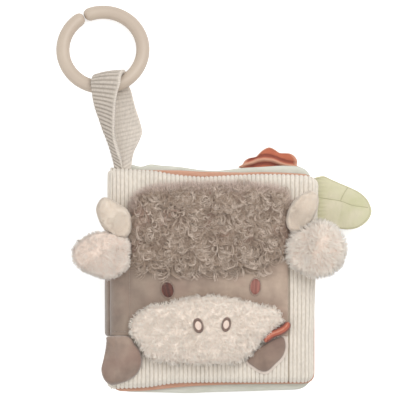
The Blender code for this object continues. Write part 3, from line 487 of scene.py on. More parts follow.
def build(name, points, faces, material, attributes=None, smooth=True):
    """A mesh object from an array of points and arrays of faces with equal numbers of corners,
    which are turned to face outwards."""
    mesh = bpy.data.meshes.new(name)
    points = np.asarray(points, np.float32).reshape(-1, 3)
    groups = [np.asarray(f, np.int32) for f in faces if len(f)]
    if volume(points, groups) < 0:
        groups = [g[:, ::-1] for g in groups]
    sizes = np.concatenate([np.full(len(g), g.shape[1], np.int32) for g in groups])
    loops = np.concatenate([g.ravel() for g in groups])
    mesh.vertices.add(len(points))
    mesh.vertices.foreach_set("co", points.ravel())
    mesh.loops.add(len(loops))
    mesh.loops.foreach_set("vertex_index", loops)
    mesh.polygons.add(len(sizes))
    mesh.polygons.foreach_set("loop_start", np.concatenate([[0], np.cumsum(sizes)[:-1]]).astype(np.int32))
    mesh.update(calc_edges=True)
    mesh.validate()
    for key, values in (attributes or {}).items():
        layer = mesh.attributes.new(key, "FLOAT", "POINT")
        layer.data.foreach_set("value", np.asarray(values, np.float32).ravel())
    if smooth:
        mesh.shade_smooth()
    mesh.materials.append(material)
    piece = bpy.data.objects.new(name, mesh)
    bpy.context.scene.collection.objects.link(piece)
    return piece


def grid_faces(rows, columns, start=0, wrap=False):
    """Quads over a grid of points, row by row. wrap joins each row's end to its start."""
    r = np.arange(rows - 1)[:, None]
    c = np.arange(columns if wrap else columns - 1)[None, :]
    n = (c + 1) % columns
    quads = [r * columns + c, r * columns + n, (r + 1) * columns + n, (r + 1) * columns + c]
    full = [np.broadcast_to(q, (rows - 1, c.shape[1])) for q in quads]
    return start + np.stack(full, axis=-1).reshape(-1, 4)


def slab(name, top, under, material, attributes=None):
    """A closed cloth from a grid of points on its face and the same grid on its underside."""
    rows, columns = top.shape[:2]
    count = rows * columns
    face = grid_faces(rows, columns)
    back = grid_faces(rows, columns, count)[:, ::-1]
    edge = [np.arange(columns), np.arange(rows) * columns + columns - 1]
    edge += [(np.arange(columns) + (rows - 1) * columns)[::-1], (np.arange(rows) * columns)[::-1]]
    rim = np.concatenate([e[:-1] for e in edge])
    following = np.roll(rim, -1)
    side = np.stack([following, rim, rim + count, following + count], axis=1)
    points = np.concatenate([top.reshape(-1, 3), under.reshape(-1, 3)])
    doubled = {k: np.concatenate([v.ravel(), v.ravel()]) for k, v in (attributes or {}).items()}
    return build(name, points, [face, back, side], material, doubled)


def turns_left(outline):
    """Whether an outline runs anticlockwise."""
    following = np.roll(outline, -1, 0)
    return (outline[:, 0] * following[:, 1] - following[:, 0] * outline[:, 1]).sum() > 0


def middle_of(outline):
    """The centre of an outline's box."""
    return (outline.min(0) + outline.max(0)) / 2


def scaled(outline, share):
    """An outline at a share of its size about its centre."""
    centre = middle_of(outline)
    return centre + (outline - centre) * share


def share_of(outline, x, y):
    """The share of the way from an outline's centre to its edge at each place."""
    centre = middle_of(outline)
    rim = outline - centre
    angles = np.arctan2(rim[:, 1], rim[:, 0])
    order = np.argsort(angles)
    heading = np.arctan2(y - centre[1], x - centre[0])
    reach = np.interp(heading, angles[order], np.linalg.norm(rim, axis=1)[order], period=math.tau)
    return np.hypot(x - centre[0], y - centre[1]) / reach


def pillow(name, outline, low, high, material, rings=12, spread=1.5, marks=None):
    """A closed pad over a plan outline. low and high give its faces from x, y and the share of
    the way from its centre to its edge. marks gives a named value for its material from x and y."""
    outline = outline if turns_left(outline) else outline[::-1]
    centre = middle_of(outline)
    shares = 1 - (1 - np.linspace(0, 1, rings + 1)[1:]) ** spread
    flat = centre + (outline - centre) * shares[:, None, None]
    share = np.broadcast_to(shares[:, None], flat.shape[:2])
    x, y = flat[..., 0], flat[..., 1]
    tops = np.dstack([x, y, high(x, y, share)])
    lows = np.dstack([x, y, low(x, y, share)])[::-1]
    count = len(outline)
    middle = np.array([[*centre, high(*centre, 0.0)], [*centre, low(*centre, 0.0)]])
    points = np.concatenate([tops.reshape(-1, 3), lows.reshape(-1, 3), middle])
    quads = grid_faces(2 * rings, count, wrap=True)
    k = np.arange(count)
    n = (k + 1) % count
    top_pole = np.full(count, 2 * rings * count)
    last = (2 * rings - 1) * count
    fans = np.concatenate([np.stack([top_pole, n, k], 1), np.stack([top_pole + 1, last + k, last + n], 1)])
    every = np.concatenate([share.ravel(), share[::-1].ravel(), [0, 0]])
    values = {key: mark(points[:, 0], points[:, 1]) for key, mark in (marks or {}).items()}
    return build(name, points, [quads[:, ::-1], fans[:, ::-1]], material, {"share": every, **values})


def tube(name, path, radius, material, sides=10, closed=False):
    """A round cord along a path. radius is a number or one value for each point."""
    path = np.asarray(path, float)
    around = np.roll(path, -1, 0) - np.roll(path, 1, 0) if closed else np.gradient(path, axis=0)
    heading = unit(around)
    side = unit(np.cross(heading, (0.0, 0.0, 1.0)) + 1e-9)
    up = np.cross(side, heading)
    angle = np.linspace(0, math.tau, sides, endpoint=False)
    size = np.broadcast_to(np.asarray(radius, float), (len(path),))[:, None, None]
    ring = side[:, None] * np.cos(angle)[None, :, None] + up[:, None] * np.sin(angle)[None, :, None]
    points = (path[:, None] + ring * size).reshape(-1, 3)
    faces = [grid_faces(len(path), sides, wrap=True)]
    if closed:
        last = (len(path) - 1) * sides
        k = np.arange(sides)
        n = (k + 1) % sides
        faces[0] = np.concatenate([faces[0], np.stack([last + k, last + n, n, k], 1)])
    else:
        last = (len(path) - 1) * sides
        caps = [np.arange(sides)[None, ::-1], (last + np.arange(sides))[None]]
        faces += caps
    return build(name, points, faces, material)


def strands(name, paths, radii, tones, material, sides=3, facing=None, soft=SOFT_SHADING, warm=None):
    """Many fine threads or hairs in one mesh. paths is count by points by 3. facing, one normal
    for each hair, shades the hairs softly, as the skin that they grow on. warm is each hair's
    share of the tint."""
    count, steps = paths.shape[:2]
    heading = unit(np.gradient(paths, axis=1))
    side = unit(np.cross(heading, (0.31, 0.57, 0.76)))
    up = np.cross(side, heading)
    angle = np.linspace(0, math.tau, sides, endpoint=False)
    ring = side[:, :, None] * np.cos(angle)[:, None] + up[:, :, None] * np.sin(angle)[:, None]
    size = np.broadcast_to(radii, (count, steps))[:, :, None, None]
    points = (paths[:, :, None] + ring * size).reshape(-1, 3)
    one = grid_faces(steps, sides, wrap=True)
    offset = np.arange(count)[:, None, None] * steps * sides
    quads = (one[None] + offset).reshape(-1, 4)[:, ::-1]
    tips = (np.arange(sides)[None, ::-1] + offset[:, 0] + (steps - 1) * sides).reshape(-1, sides)
    roots = (np.arange(sides)[None] + offset[:, 0]).reshape(-1, sides)
    along = np.broadcast_to(np.linspace(0, 1, steps)[None, :, None], (count, steps, sides))
    tone = np.broadcast_to(np.asarray(tones)[:, None, None], (count, steps, sides))
    warm = np.zeros(count) if warm is None else warm
    tint = np.broadcast_to(warm[:, None, None], (count, steps, sides))
    marks = {"along": along, "tone": tone, "warm": tint}
    made = build(name, points, [quads, tips, roots], material, marks)
    if facing is not None:
        own = ring.reshape(-1, 3)
        skin = np.repeat(facing, steps * sides, axis=0)
        made.data.normals_split_custom_set_from_vertices(unit(skin * soft + own * (1 - soft)))
    return made


def scatter(skin, count, random, where=None):
    """Random places on a piece: points and smooth normals. where(points, normals) says which stay."""
    mesh = skin.data
    mesh.calc_loop_triangles()
    corners = values_of(mesh.loop_triangles, "vertices", 3, np.int32)
    points = values_of(mesh.vertices, "co", 3).astype(float)
    normals = values_of(mesh.vertex_normals, "vector", 3).astype(float)
    a, b, c = (points[corners[:, k]] for k in range(3))
    area = np.linalg.norm(np.cross(b - a, c - a), axis=1)
    if where is not None:
        area = area * where((a + b + c) / 3, unit(normals[corners].sum(1)))
    chosen = random.choice(len(area), count, p=area / area.sum())
    u = random.random((count, 2))
    over = u.sum(1) > 1
    u[over] = 1 - u[over]
    weight = np.stack([1 - u.sum(1), u[:, 0], u[:, 1]], axis=1)[:, :, None]
    return (points[corners[chosen]] * weight).sum(1), unit((normals[corners[chosen]] * weight).sum(1))


def locks(roots, tips, size, pull, random):
    """Draws the tips of neighbouring hairs together into locks."""
    leaders = random.permutation(len(roots))[: max(1, len(roots) // size)]
    tree = kdtree.KDTree(len(leaders))
    for k, leader in enumerate(leaders):
        tree.insert(roots[leader], k)
    tree.balance()
    nearest = np.array([leaders[tree.find(r)[1]] for r in roots])
    own = tips - roots
    shared = tips[nearest] - roots
    return roots + own * (1 - pull) + shared * pull


def fur(name, skin, material, count, length, radius, lean=None, where=None, seed=1, steps=3,
        pull=0.5, lock=8, rough=0.3, bow=0.0, tint=None):
    """Hairs on a skin, drawn into locks and bowed. tint(x, y) is the share of the warm tint."""
    random = np.random.default_rng(seed)
    roots, normals = scatter(skin, count, random, where)
    heading = normals + random.normal(0, rough, roots.shape)
    if lean is not None:
        heading = heading + lean(roots, normals)
    tips = roots + unit(heading) * length * random.uniform(0.65, 1.2, (count, 1))
    tips = locks(roots, tips, lock, pull, random)
    t = np.linspace(0, 1, steps)[None, :, None]
    line = roots[:, None] + (tips - roots)[:, None] * t
    axis = unit(tips - roots)
    side = unit(np.cross(axis, random.normal(0, 1, roots.shape)))
    if bow:
        line = line + side[:, None] * np.sin(math.pi * t / 2) * bow * length
    taper = radius * (1 - 0.75 * np.linspace(0, 1, steps) ** 2)[None]
    warm = tint(roots[:, 0], roots[:, 1]) if tint else None
    return strands(name, line, taper, random.random(count), material, facing=normals, warm=warm)


def curls(name, outline, ground, material, count, fibres, radius, length, lift, flow, seed, tint):
    """Hooked curls that lie on a ground inside an outline, each of a few fibres. flow gives the
    heading of the hair and which way it hooks at each place."""
    random = np.random.default_rng(seed)
    low, high = outline.min(0), outline.max(0)
    places = low + random.random((count * 3, 2)) * (high - low)
    inside = share_of(outline, places[:, 0], places[:, 1]) < 0.98
    places = places[inside][:count]
    count = len(places)
    heading, hook = flow(places[:, 0], places[:, 1])
    heading = heading + random.normal(0, 0.45, count)
    sweep = np.where(hook + random.normal(0, 0.35, count) > 0, 1, -1) * random.uniform(0.8, 4.8, count)
    reach = length * random.uniform(0.6, 1.35, count)
    rise = lift * random.uniform(0.15, 1.3, count)
    tone = random.random(count) ** 1.5
    own = np.repeat(np.arange(count), fibres)
    many = len(own)
    t = np.linspace(0, 1, CURL_STEPS)
    start = heading[own] + random.normal(0, 0.10, many)
    angle = start[:, None] + (sweep[own] * random.normal(1, 0.08, many))[:, None] * t[None] ** 1.5
    step = (reach[own] * random.normal(1, 0.08, many))[:, None] / (CURL_STEPS - 1)
    roots = places[own] + random.normal(0, radius * 1.7, (many, 2))
    x = roots[:, :1] + np.cumsum(np.cos(angle) * step, axis=1)
    y = roots[:, 1:] + np.cumsum(np.sin(angle) * step, axis=1)
    arch = np.sin(math.pi * (0.06 + 0.84 * t) ** 0.75)
    z = ground(x, y) + rise[own][:, None] * arch[None] + np.abs(random.normal(0, radius, many))[:, None]
    taper = radius * (1 - 0.6 * t**3)[None]
    tones = np.clip(tone[own] + random.normal(0, 0.12, many), 0, 1)
    px, py = places[:, 0], places[:, 1]
    slope_x = (ground(px + SLOPE_STEP, py) - ground(px - SLOPE_STEP, py)) / (2 * SLOPE_STEP)
    slope_y = (ground(px, py + SLOPE_STEP) - ground(px, py - SLOPE_STEP)) / (2 * SLOPE_STEP)
    facing = unit(np.stack([-slope_x, -slope_y, np.ones(count)], 1))[own]
    warm = tint(roots[:, 0], roots[:, 1])
    return strands(name, np.dstack([x, y, z]), taper, tones, material, facing=facing, warm=warm)


def puff(piece, pressure, cap, slack=0.04, held=0.93):
    """Swells a pad as stuffed cloth does, with its seam held, and keeps the result."""
    mesh = piece.data
    share = values_of(mesh.attributes["share"].data, "value")
    rest = values_of(mesh.vertices, "co", 3)
    seam = piece.vertex_groups.new(name="seam")
    seam.add([int(k) for k in np.flatnonzero(share > held)], 1.0, "REPLACE")
    cloth = piece.modifiers.new("cloth", "CLOTH")
    settings = cloth.settings
    settings.quality = 5
    settings.mass = 0.3
    settings.vertex_group_mass = "seam"
    settings.use_pressure = True
    settings.uniform_pressure_force = pressure
    settings.shrink_min = -slack
    settings.effector_weights.gravity = 0
    cloth.collision_settings.use_collision = False
    scene = bpy.context.scene
    for step in range(1, PUFF_FRAMES + 1):
        scene.frame_set(step)
    made = piece.evaluated_get(bpy.context.evaluated_depsgraph_get())
    shift = values_of(made.data.vertices, "co", 3) - rest
    size = np.linalg.norm(shift, axis=1, keepdims=True)
    shift = np.where(np.isfinite(shift), shift, 0) * np.minimum(1, cap / np.maximum(size, 1e-9))
    piece.modifiers.remove(cloth)
    piece.vertex_groups.remove(seam)
    mesh.vertices.foreach_set("co", (rest + shift).astype(np.float32).ravel())
    mesh.update()
    scene.frame_set(1)
    return piece


# Materials


def colour(code):
    """A linear colour from its six-digit code."""
    parts = [int(code[k : k + 2], 16) / 255 for k in (0, 2, 4)]
    return tuple(p / 12.92 if p <= 0.04045 else ((p + 0.055) / 1.055) ** 2.4 for p in parts) + (1.0,)


class Look:
    """A node material in the making."""

    def __init__(self, name, roughness=0.95, sheen=0.0, specular=0.2):
        self.material = bpy.data.materials.new(name)
        self.material.use_nodes = True
        self.tree = self.material.node_tree
        self.shader = self.tree.nodes["Principled BSDF"]
        self.shader.inputs["Roughness"].default_value = roughness
        self.shader.inputs["Sheen Weight"].default_value = sheen
        self.shader.inputs["Sheen Roughness"].default_value = 0.6
        self.shader.inputs["Specular IOR Level"].default_value = specular
        self.place = self.add("ShaderNodeTexCoord").outputs["Object"]

    def add(self, kind, **sockets):
        """A node, with values or links for its sockets. An underscore stands for a space."""
        made = self.tree.nodes.new(kind)
        for key, value in sockets.items():
            self.give(made.inputs[key.replace("_", " ")], value)
        return made

    def give(self, socket, value):
        """Gives a socket a value, or a link from another socket."""
        if isinstance(value, bpy.types.NodeSocket):
            self.tree.links.new(value, socket)
        else:
            socket.default_value = value

    def noise(self, scale, detail=3.0, stretch=(1, 1, 1)):
        """A noise value over the piece. scale is in waves per metre."""
        moved = self.add("ShaderNodeMapping", Vector=self.place, Scale=stretch)
        return self.add(
            "ShaderNodeTexNoise", Vector=moved.outputs[0], Scale=scale, Detail=detail
        ).outputs["Fac"]

    def ramp(self, value, stops):
        """Colours or greys along a value."""
        made = self.add("ShaderNodeValToRGB", Fac=value)
        marks = made.color_ramp.elements
        while len(marks) < len(stops):
            marks.new(0.5)
        for mark, (place, shade) in zip(marks, stops):
            mark.position = place
            mark.color = shade
        return made.outputs["Color"]

    def mix(self, share, first, second, way="MIX"):
        """Two colours mixed by a share."""
        made = self.tree.nodes.new("ShaderNodeMix")
        made.data_type = "RGBA"
        made.blend_type = way
        for index, value in ((0, share), (6, first), (7, second)):
            self.give(made.inputs[index], value)
        return made.outputs[2]

    def times(self, first, second):
        """Two colours multiplied."""
        return self.mix(1.0, first, second, "MULTIPLY")

    def clouds(self, noise, start, end, stretch=(1, 1, 1)):
        """Soft patches of grey. noise is its scale and detail, start and end each a place and a grey."""
        return self.ramp(self.noise(*noise, stretch), [(place, grey(shade)) for place, shade in (start, end)])

    def attribute(self, name):
        """A value that the mesh holds for each point."""
        made = self.tree.nodes.new("ShaderNodeAttribute")
        made.attribute_name = name
        return made.outputs["Fac"]

    def math(self, operation, first, second):
        """One sum on two values."""
        made = self.tree.nodes.new("ShaderNodeMath")
        made.operation = operation
        for index, value in ((0, first), (1, second)):
            self.give(made.inputs[index], value)
        return made.outputs[0]

    def paint(self, value):
        """Sets the cloth's colour."""
        self.tree.links.new(value, self.shader.inputs["Base Color"])
        return self

    def bump(self, height, distance, strength=1.0):
        """Relief from a height value, added to any relief that is there."""
        made = self.add("ShaderNodeBump", Height=height, Distance=distance, Strength=strength)
        linked = self.shader.inputs["Normal"].links
        if linked:
            self.tree.links.new(linked[0].from_socket, made.inputs["Normal"])
        self.tree.links.new(made.outputs[0], self.shader.inputs["Normal"])
        return self


def grey(value):
    """A grey as a colour."""
    return (value, value, value, 1.0)


def corduroy(name, light, dark, pale_from=0.45):
    """Ribbed pile: pale on the wales and darker in the furrows, where the dark colour is painted shade, with
    a soft broken nap. pale_from is the rib's height where the wale is at its palest."""
    look = Look(name, 0.95, sheen=0.25)
    rib = look.attribute("rib")
    # Painted shade: the furrows take the dark colour.
    furrow = look.ramp(rib, ((0.0, colour(dark)), (pale_from, colour(light)), (1.0, colour(light))))
    nap = look.clouds((900, 4), (0.3, 0.86), (0.7, 1.04), (1, 0.35, 1))
    patches = look.clouds((60, 3), (0.3, 0.94), (0.7, 1.03))
    toned = look.times(furrow, nap)
    look.paint(look.times(toned, patches))
    look.bump(look.noise(2200, 3), 0.0004, 0.7)
    look.bump(look.noise(700, 3, (1, 0.5, 1)), 0.0005, 0.5)
    return look.material


def velour(name, light, dark, warm, contrast=0.5, painted_side_shade=None):
    """Short brushed pile: cloudy where the nap is turned, with fine grain. Its last argument, when given, is
    painted shade across the book: the greys that the colour is multiplied by at the book's left and at its
    right."""
    look = Look(name, 0.9, sheen=0.5)
    clouds = look.clouds((75, 4), (0.36, 0), (0.66, 1), (1, 0.6, 1))
    strokes = look.clouds((260, 5), (0.3, 0), (0.72, 1), (0.5, 1, 1))
    base = look.mix(clouds, colour(dark), colour(light))
    rosy = look.clouds((38, 2), (0.52, 0), (0.75, contrast))
    warmed = look.mix(rosy, base, colour(warm))
    shade = look.mix(strokes, grey(0.93), grey(1.05))
    brushed = look.times(warmed, shade)
    # Painted shade: a grey that runs from darker at the book's left to lighter at its right, as the light
    # falls, multiplies the colour.
    if painted_side_shade:
        apart = look.add("ShaderNodeSeparateXYZ", Vector=look.place)
        across = look.add("ShaderNodeMapRange", Value=apart.outputs["X"], From_Min=LEFT, From_Max=RIGHT)
        sides = look.ramp(across.outputs["Result"], ((0.0, grey(painted_side_shade[0])), (1.0, grey(painted_side_shade[1]))))
        brushed = look.times(brushed, sides)
    look.paint(brushed)
    look.bump(look.noise(3000, 2), 0.0002, 0.6)
    look.bump(look.noise(420, 4), 0.0003, 0.25)
    return look.material


def pile(name, root, low, high, warm=None):
    """Hairs: each has its own tone, and its root is darker than its tip, as painted shade deep in the pile.
    warm is its tint.
    """
    look = Look(name, 0.95, sheen=0.3, specular=0.15)
    own = look.mix(look.attribute("tone"), colour(low), colour(high))
    clouds = look.clouds((120, 3), (0.3, 0.92), (0.7, 1.05))
    toned = look.times(own, clouds)
    if warm:
        toned = look.mix(look.attribute("warm"), toned, colour(warm))
    # Painted shade: the root colour fades out along each hair.
    from_root = look.ramp(look.attribute("along"), ((0.0, grey(0)), (0.7, grey(1))))
    look.paint(look.mix(from_root, colour(root), toned))
    return look.material


def wool(name, light, dark, size, depth):
    """Fleece in small tufts: pale crowns, with painted shade in the darker gaps between them. size is in
    tufts per metre.
    """
    look = Look(name, 0.95, sheen=0.25)
    tufts = look.noise(size, 4)
    # Painted shade: the tufts' low gaps take the dark colour.
    shade = look.ramp(tufts, ((0.34, colour(dark)), (0.58, colour(light))))
    clouds = look.clouds((85, 3), (0.3, 0.95), (0.7, 1.03))
    look.paint(look.times(shade, clouds))
    look.bump(tufts, depth, 0.8)
    look.bump(look.noise(size * 3.5, 3), depth * 0.35, 0.6)
    return look.material


def cotton(name, light, dark):
    """Plain woven cotton: crossing threads, slubs and soft creases."""
    look = Look(name, 0.9, sheen=0.15)
    over = look.add("ShaderNodeTexWave", Vector=look.place, Scale=WEAVE)
    over.bands_direction = "X"
    under = look.add("ShaderNodeTexWave", Vector=look.place, Scale=WEAVE)
    under.bands_direction = "Y"
    threads = look.math("ADD", over.outputs["Fac"], under.outputs["Fac"])
    slubs = look.clouds((500, 5), (0.3, 0), (0.7, 1), (0.25, 1, 1))
    base = look.mix(slubs, colour(dark), colour(light))
    look.paint(base)
    look.bump(threads, 0.00015, 0.35)
    look.bump(look.noise(90, 3), 0.0008, 0.35)
    return look.material


def leaf_print(name, light, dark, cloud):
    """Soft sage cotton, with a faded green in clouds."""
    look = Look(name, 0.9, sheen=0.2)
    clouds = look.clouds((70, 4), (0.35, 0), (0.68, 1))
    base = look.mix(clouds, colour(light), colour(dark))
    slubs = look.clouds((700, 4), (0.4, 0), (0.8, 0.6), (1, 0.3, 1))
    look.paint(look.mix(slubs, base, colour(cloud)))
    look.bump(look.noise(1800, 3), 0.0002, 0.5)
    look.bump(look.noise(130, 3), 0.0009, 0.5)
    return look.material


def petal_cloth(name, light, dark, pale):
    """Crumpled cotton, with painted shade in its folds and a painted highlight along them, and pale at its
    hem.
    """
    look = Look(name, 0.85, sheen=0.2)
    crease = look.math("ADD", look.attribute("crease"), look.math("MULTIPLY", look.noise(150, 4), 0.9))
    # From the crease mark: the dark colour is painted shade, the pale colour a painted highlight.
    stops = ((0.0, dark), (0.35, light), (0.62, light), (1.0, pale))
    folds = look.ramp(crease, [(place, colour(code)) for place, code in stops])
    hem = look.ramp(look.attribute("share"), ((0.84, grey(0)), (0.95, grey(0.8))))
    look.paint(look.mix(hem, folds, colour(pale)))
    look.bump(look.noise(260, 4), 0.0008, 0.5)
    look.bump(look.noise(2200, 2), 0.0002, 0.4)
    return look.material


def thread(name, light, dark):
    """Embroidery floss, which shines along its twist."""
    look = Look(name, 0.5, sheen=0.3, specular=0.4)
    look.paint(look.mix(look.attribute("tone"), colour(dark), colour(light)))
    look.bump(look.noise(4000, 2, (1, 0.3, 1)), 0.0001, 0.5)
    return look.material


def plastic(name, base, pale):
    """Smooth moulded plastic with a faint flow and a satin face."""
    look = Look(name, 0.42, specular=0.45)
    flow = look.ramp(look.noise(25, 3, (1, 1, 0.5)), ((0.35, colour(base)), (0.7, colour(pale))))
    look.paint(flow)
    look.bump(look.noise(900, 2), 0.00003, 0.3)
    return look.material


# Each corduroy's dark colour is painted shade in its furrows.
CORDUROY = corduroy("ribbed_corduroy", "e5dccf", "b1a28f")
# On the strap the dark colour is painted shade on its furrows and on its front leg.
STRAP_CLOTH = corduroy("strap_corduroy", "ece2d6", "8c8073", pale_from=0.95)
# The face velour's last value is painted shade and light: darker at the book's left, lighter at its right.
VELOUR = velour("taupe_velour", "b29e8d", "998577", "a28578", 0.7, (0.64, 1.20))
HOOF_VELOUR = velour("hoof_velour", "a28d7e", "847063", "8d7165", 0.8)
CREAM_VELOUR = velour("cream_velour", "f0e4d5", "e6d6c6", "e9d4c5", 0.5)
FORELOCK_BACKING = velour("forelock_backing", "ab9686", "8b7668", "9a6e61", 0.9)
# Each pile's first colour is the painted shade at its hairs' roots.
FORELOCK_PILE = pile("forelock_curls", "94806f", "b09a88", "f2e0d0", warm="9a6c5f")
FORELOCK_WISPS = pile("forelock_wisps", "b49c8d", "ccb3a5", "f0dfd3")
FORELOCK_FUZZ = pile("forelock_fuzz", "958071", "a99383", "cbb7a6", warm="92645a")
SHERPA = pile("sherpa_wool", "fbe9d9", "fef1e3", "fff8ed")
SHERPA_BACKING = wool("sherpa_backing", "fff2e5", "f6e5d6", 520, 0.0020)
# The ears are one plush: the left ear's darker colours, pile and backing, are painted shade that evens out
# the stronger light on the left pad.
EAR_PILES = {
    "left": pile("ear_left_plush", "f4decf", "f8e9dc", "fcf3e8"),
    "right": pile("ear_right_plush", "ffecdc", "fff2e5", "fff9ee"),
}
EAR_BACKINGS = {
    "left": wool("ear_left_backing", "f4e1d3", "efdaca", 330, 0.0015),
    "right": wool("ear_right_backing", "ffeddf", "fbe4d4", 330, 0.0015),
}
HORN_PILE = pile("horn_plush", "eeddc8", "f3e3d1", "fbeee0")
LEAF_BACKING = velour("leaf_backing_cloth", "dbcdc1", "cdbeb1", "d0bfb4", 0.5)
MOUTH_VELOUR = velour("mouth_leaf_velour", "907a6c", "766256", "80675e", 0.8)
CORAL = cotton("coral_cotton", "d1a58f", "c59279")
PAGE = cotton("page_cotton", "d5d4c9", "c9c9bb")
LEAF_GREEN = leaf_print("leaf_cotton", "d9d2b8", "c9c7a1", "cec8ae")
# In each petal cloth the dark colour is painted shade, and the pale colour is both a painted highlight and
# the hem's colour.
PETAL_CLOTH = petal_cloth("petal_cotton", "b5634d", "80402f", "cd8a74")
FLOWER_CLOTH = petal_cloth("flower_cotton", "bb6b50", "935040", "c9967d")
LEAF_THREAD = thread("leaf_thread", "c4c29c", "b3b089")
EYE_THREADS = {
    "left": thread("eye_thread_left", "774435", "34130e"),
    "right": thread("eye_thread_right", "b0766a", "7c4a3e"),
}
EYE_EDGE_THREAD = thread("eye_edge_thread", "c9b2a2", "9a8070")
NOSTRIL_THREAD = thread("nostril_thread", "8d7366", "715a4f")
NOSTRIL_FILL_THREAD = thread("nostril_fill_thread", "efded1", "e5cbbb")
SEAM_THREAD = thread("seam_thread", "a99a8e", "928377")
RING_PLASTIC = plastic("ring_plastic", "beae9e", "c5b6a5")


# Heights over the cover, and how pieces join their bodies


def edge_line(x, pixels):
    """The y of a soft edge over x, from a line of pixels."""
    line = rounded(plan(pixels), 200, closed=False)
    return np.interp(x, line[:, 0], line[:, 1])


def face_height(x, y):
    """The height of the front cover's face, with its crown and its rounded shoulder."""
    past = np.clip((LEFT + SHOULDER_WIDTH - x) / SHOULDER_WIDTH, 0, 1)
    return FACE_Z + crown(x, y) - SHOULDER_DROP * (1 - np.sqrt(1 - past * past))


def on_face(lift):
    """A pad's face or underside that follows the cover's face at a height."""
    return lambda x, y, share: face_height(x, y) + lift


def flat_at(level):
    """A pad's face or underside at one height."""
    return lambda x, y, share: level + 0 * x


def both_faces(middle, shape):
    """A pad's underside and its face about a middle height. shape gives half its thickness and
    its lift from x, y and share."""

    def face(way):
        def level(x, y, share):
            half, lift = shape(x, y, share)
            return middle + way * half + lift

        return level

    return face(-1), face(1)


def dome(share, rise, rim, power=2.6):
    """A rounded height over a pad's share, from its rim to its full rise."""
    return rim + (rise - rim) * np.sqrt(np.clip(1 - share**power, 0, 1))


def ride_as(piece, body, slot, *nodes):
    """Puts a piece on its body and hides the CAD nodes that it stands for. Its material slot is not used."""
    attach(piece, body)
    return label(piece, slot, nodes)


def label(piece, slot, nodes):
    """Hides the CAD nodes that a piece stands for. Its material slot is not used."""
    if nodes:
        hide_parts(*nodes)
    return piece


def bend_as(piece, joint, free, slot, *nodes):
    """Bakes a piece's place into its mesh and hides the CAD nodes that it stands for. It finds a held point
    and a free point on each side of its joint's axis, but does nothing with them. free is a place in plan on
    the side that moves."""
    facts = JOINTS[joint]
    place = Vector(facts["pos_m"])
    axis = Vector(facts["axis"]).normalized()
    away = Vector((free[0], free[1], place.z)) - place
    away = (away - axis * away.dot(axis)).normalized()
    held, free_end = place - away * ROOT_HELD, place + away * ROOT_BEND
    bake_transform(piece)
    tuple(held)
    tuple(free_end)
    return label(piece, slot, nodes)


# Corduroy covers


def section(left_round, left_depth, right_round, depth):
    """A cover's section across: x and the share of its depth, at even steps of its length."""
    quarter = np.linspace(0, math.pi / 2, 24)
    base = 1 - left_depth / depth
    left_x = LEFT + left_round * (1 - np.cos(quarter))
    left = np.stack([left_x, depth * (base + (1 - base) * np.sin(quarter))], 1)
    right = np.stack([RIGHT - right_round * (1 - np.sin(quarter)), depth * np.cos(quarter)], 1)
    line = np.concatenate([[[LEFT, 0]], left, right]) if base > 0 else np.concatenate([left, right])
    length = np.linalg.norm(np.diff(line, axis=0), axis=1).sum()
    wales = round(length / WALE)
    line = evenly(line, wales * POINTS_PER_WALE + 1)
    return line[:, 0], line[:, 1] / depth


def end_section(depth, radius):
    """A cover's section from its bottom edge to its top edge: v from -1 to 1 and share of depth."""
    half = HALF_HEIGHT
    quarter = np.linspace(0, math.pi / 2, 24)
    low = np.stack([-half + radius * (1 - np.cos(quarter)), depth * np.sin(quarter)], 1)
    high = np.stack([half - radius * (1 - np.sin(quarter)), depth * np.cos(quarter)], 1)
    line = np.concatenate([low, high])
    length = np.linalg.norm(np.diff(line, axis=0), axis=1).sum()
    line = evenly(line, round(length / ROW_STEP))
    return line[:, 0] / half, line[:, 1] / depth


def soften_corners(x, y):
    """Draws the cover's free corners in to an arc."""
    low = edge_line(x, BOTTOM_EDGE_PX)
    high = edge_line(x, TOP_EDGE_PX)
    a = np.maximum(0, x - (RIGHT - CORNER_RADIUS))
    top = y > (low + high) / 2
    b = np.maximum(0, np.where(top, y - (high - CORNER_RADIUS), (low + CORNER_RADIUS) - y))
    square = 2 * CORNER_RADIUS**2
    new_a = a * np.sqrt(1 - b * b / square)
    new_b = b * np.sqrt(1 - a * a / square)
    slant = FREE_SIDE_SLANT * np.clip(y / HALF_HEIGHT, -0.5, 1) * (np.maximum(x, 0) / RIGHT) ** 4
    return x - (a - new_a) + slant, y - np.where(top, 1, -1) * (b - new_b)


def ribbed(name, xs, gx, vs, gy, height, direction, seams=()):
    """A corduroy face over the cover's plan: wales run along y."""
    x, v = np.meshgrid(xs, vs)
    low = edge_line(x, BOTTOM_EDGE_PX)
    high = edge_line(x, TOP_EDGE_PX)
    y = (low + high) / 2 + v * (high - low) / 2
    x, y = soften_corners(x, y)
    share = gx[None] * gy[:, None]
    base = np.dstack([x, y, height(x, y, share)])
    across = np.gradient(base, axis=1)
    along = np.gradient(base, axis=0)
    normal = unit(np.cross(across, along)) * direction
    turn = np.arange(len(xs)) / POINTS_PER_WALE
    wobble = 0.06 * ripple(x, y, 0.05, 3)
    at = np.abs(((turn[None] + wobble) % 1) * 2 - 1)
    rib = 1 - at**WALE_SHARPNESS
    # Seams sink the wales, and through the rib mark they also take the corduroy's painted furrow shade.
    for seam_x, below in seams:
        near = bell(x - seam_x, SEAM_WIDTH) * (y < below)
        rib = rib - near * SEAM_DEPTH / WALE_HEIGHT
    lumps = 1 + 0.12 * ripple(x, y, 0.004, 5)
    top = base + normal * (rib * lumps * WALE_HEIGHT - WALE_HEIGHT / 2)[..., None]
    if direction < 0:
        top[..., 2] = np.maximum(top[..., 2], FLOOR_GAP)
    under = base - normal * WALE_HEIGHT
    return slab(name, top, under, CORDUROY, {"rib": np.clip(rib, 0, 1)})


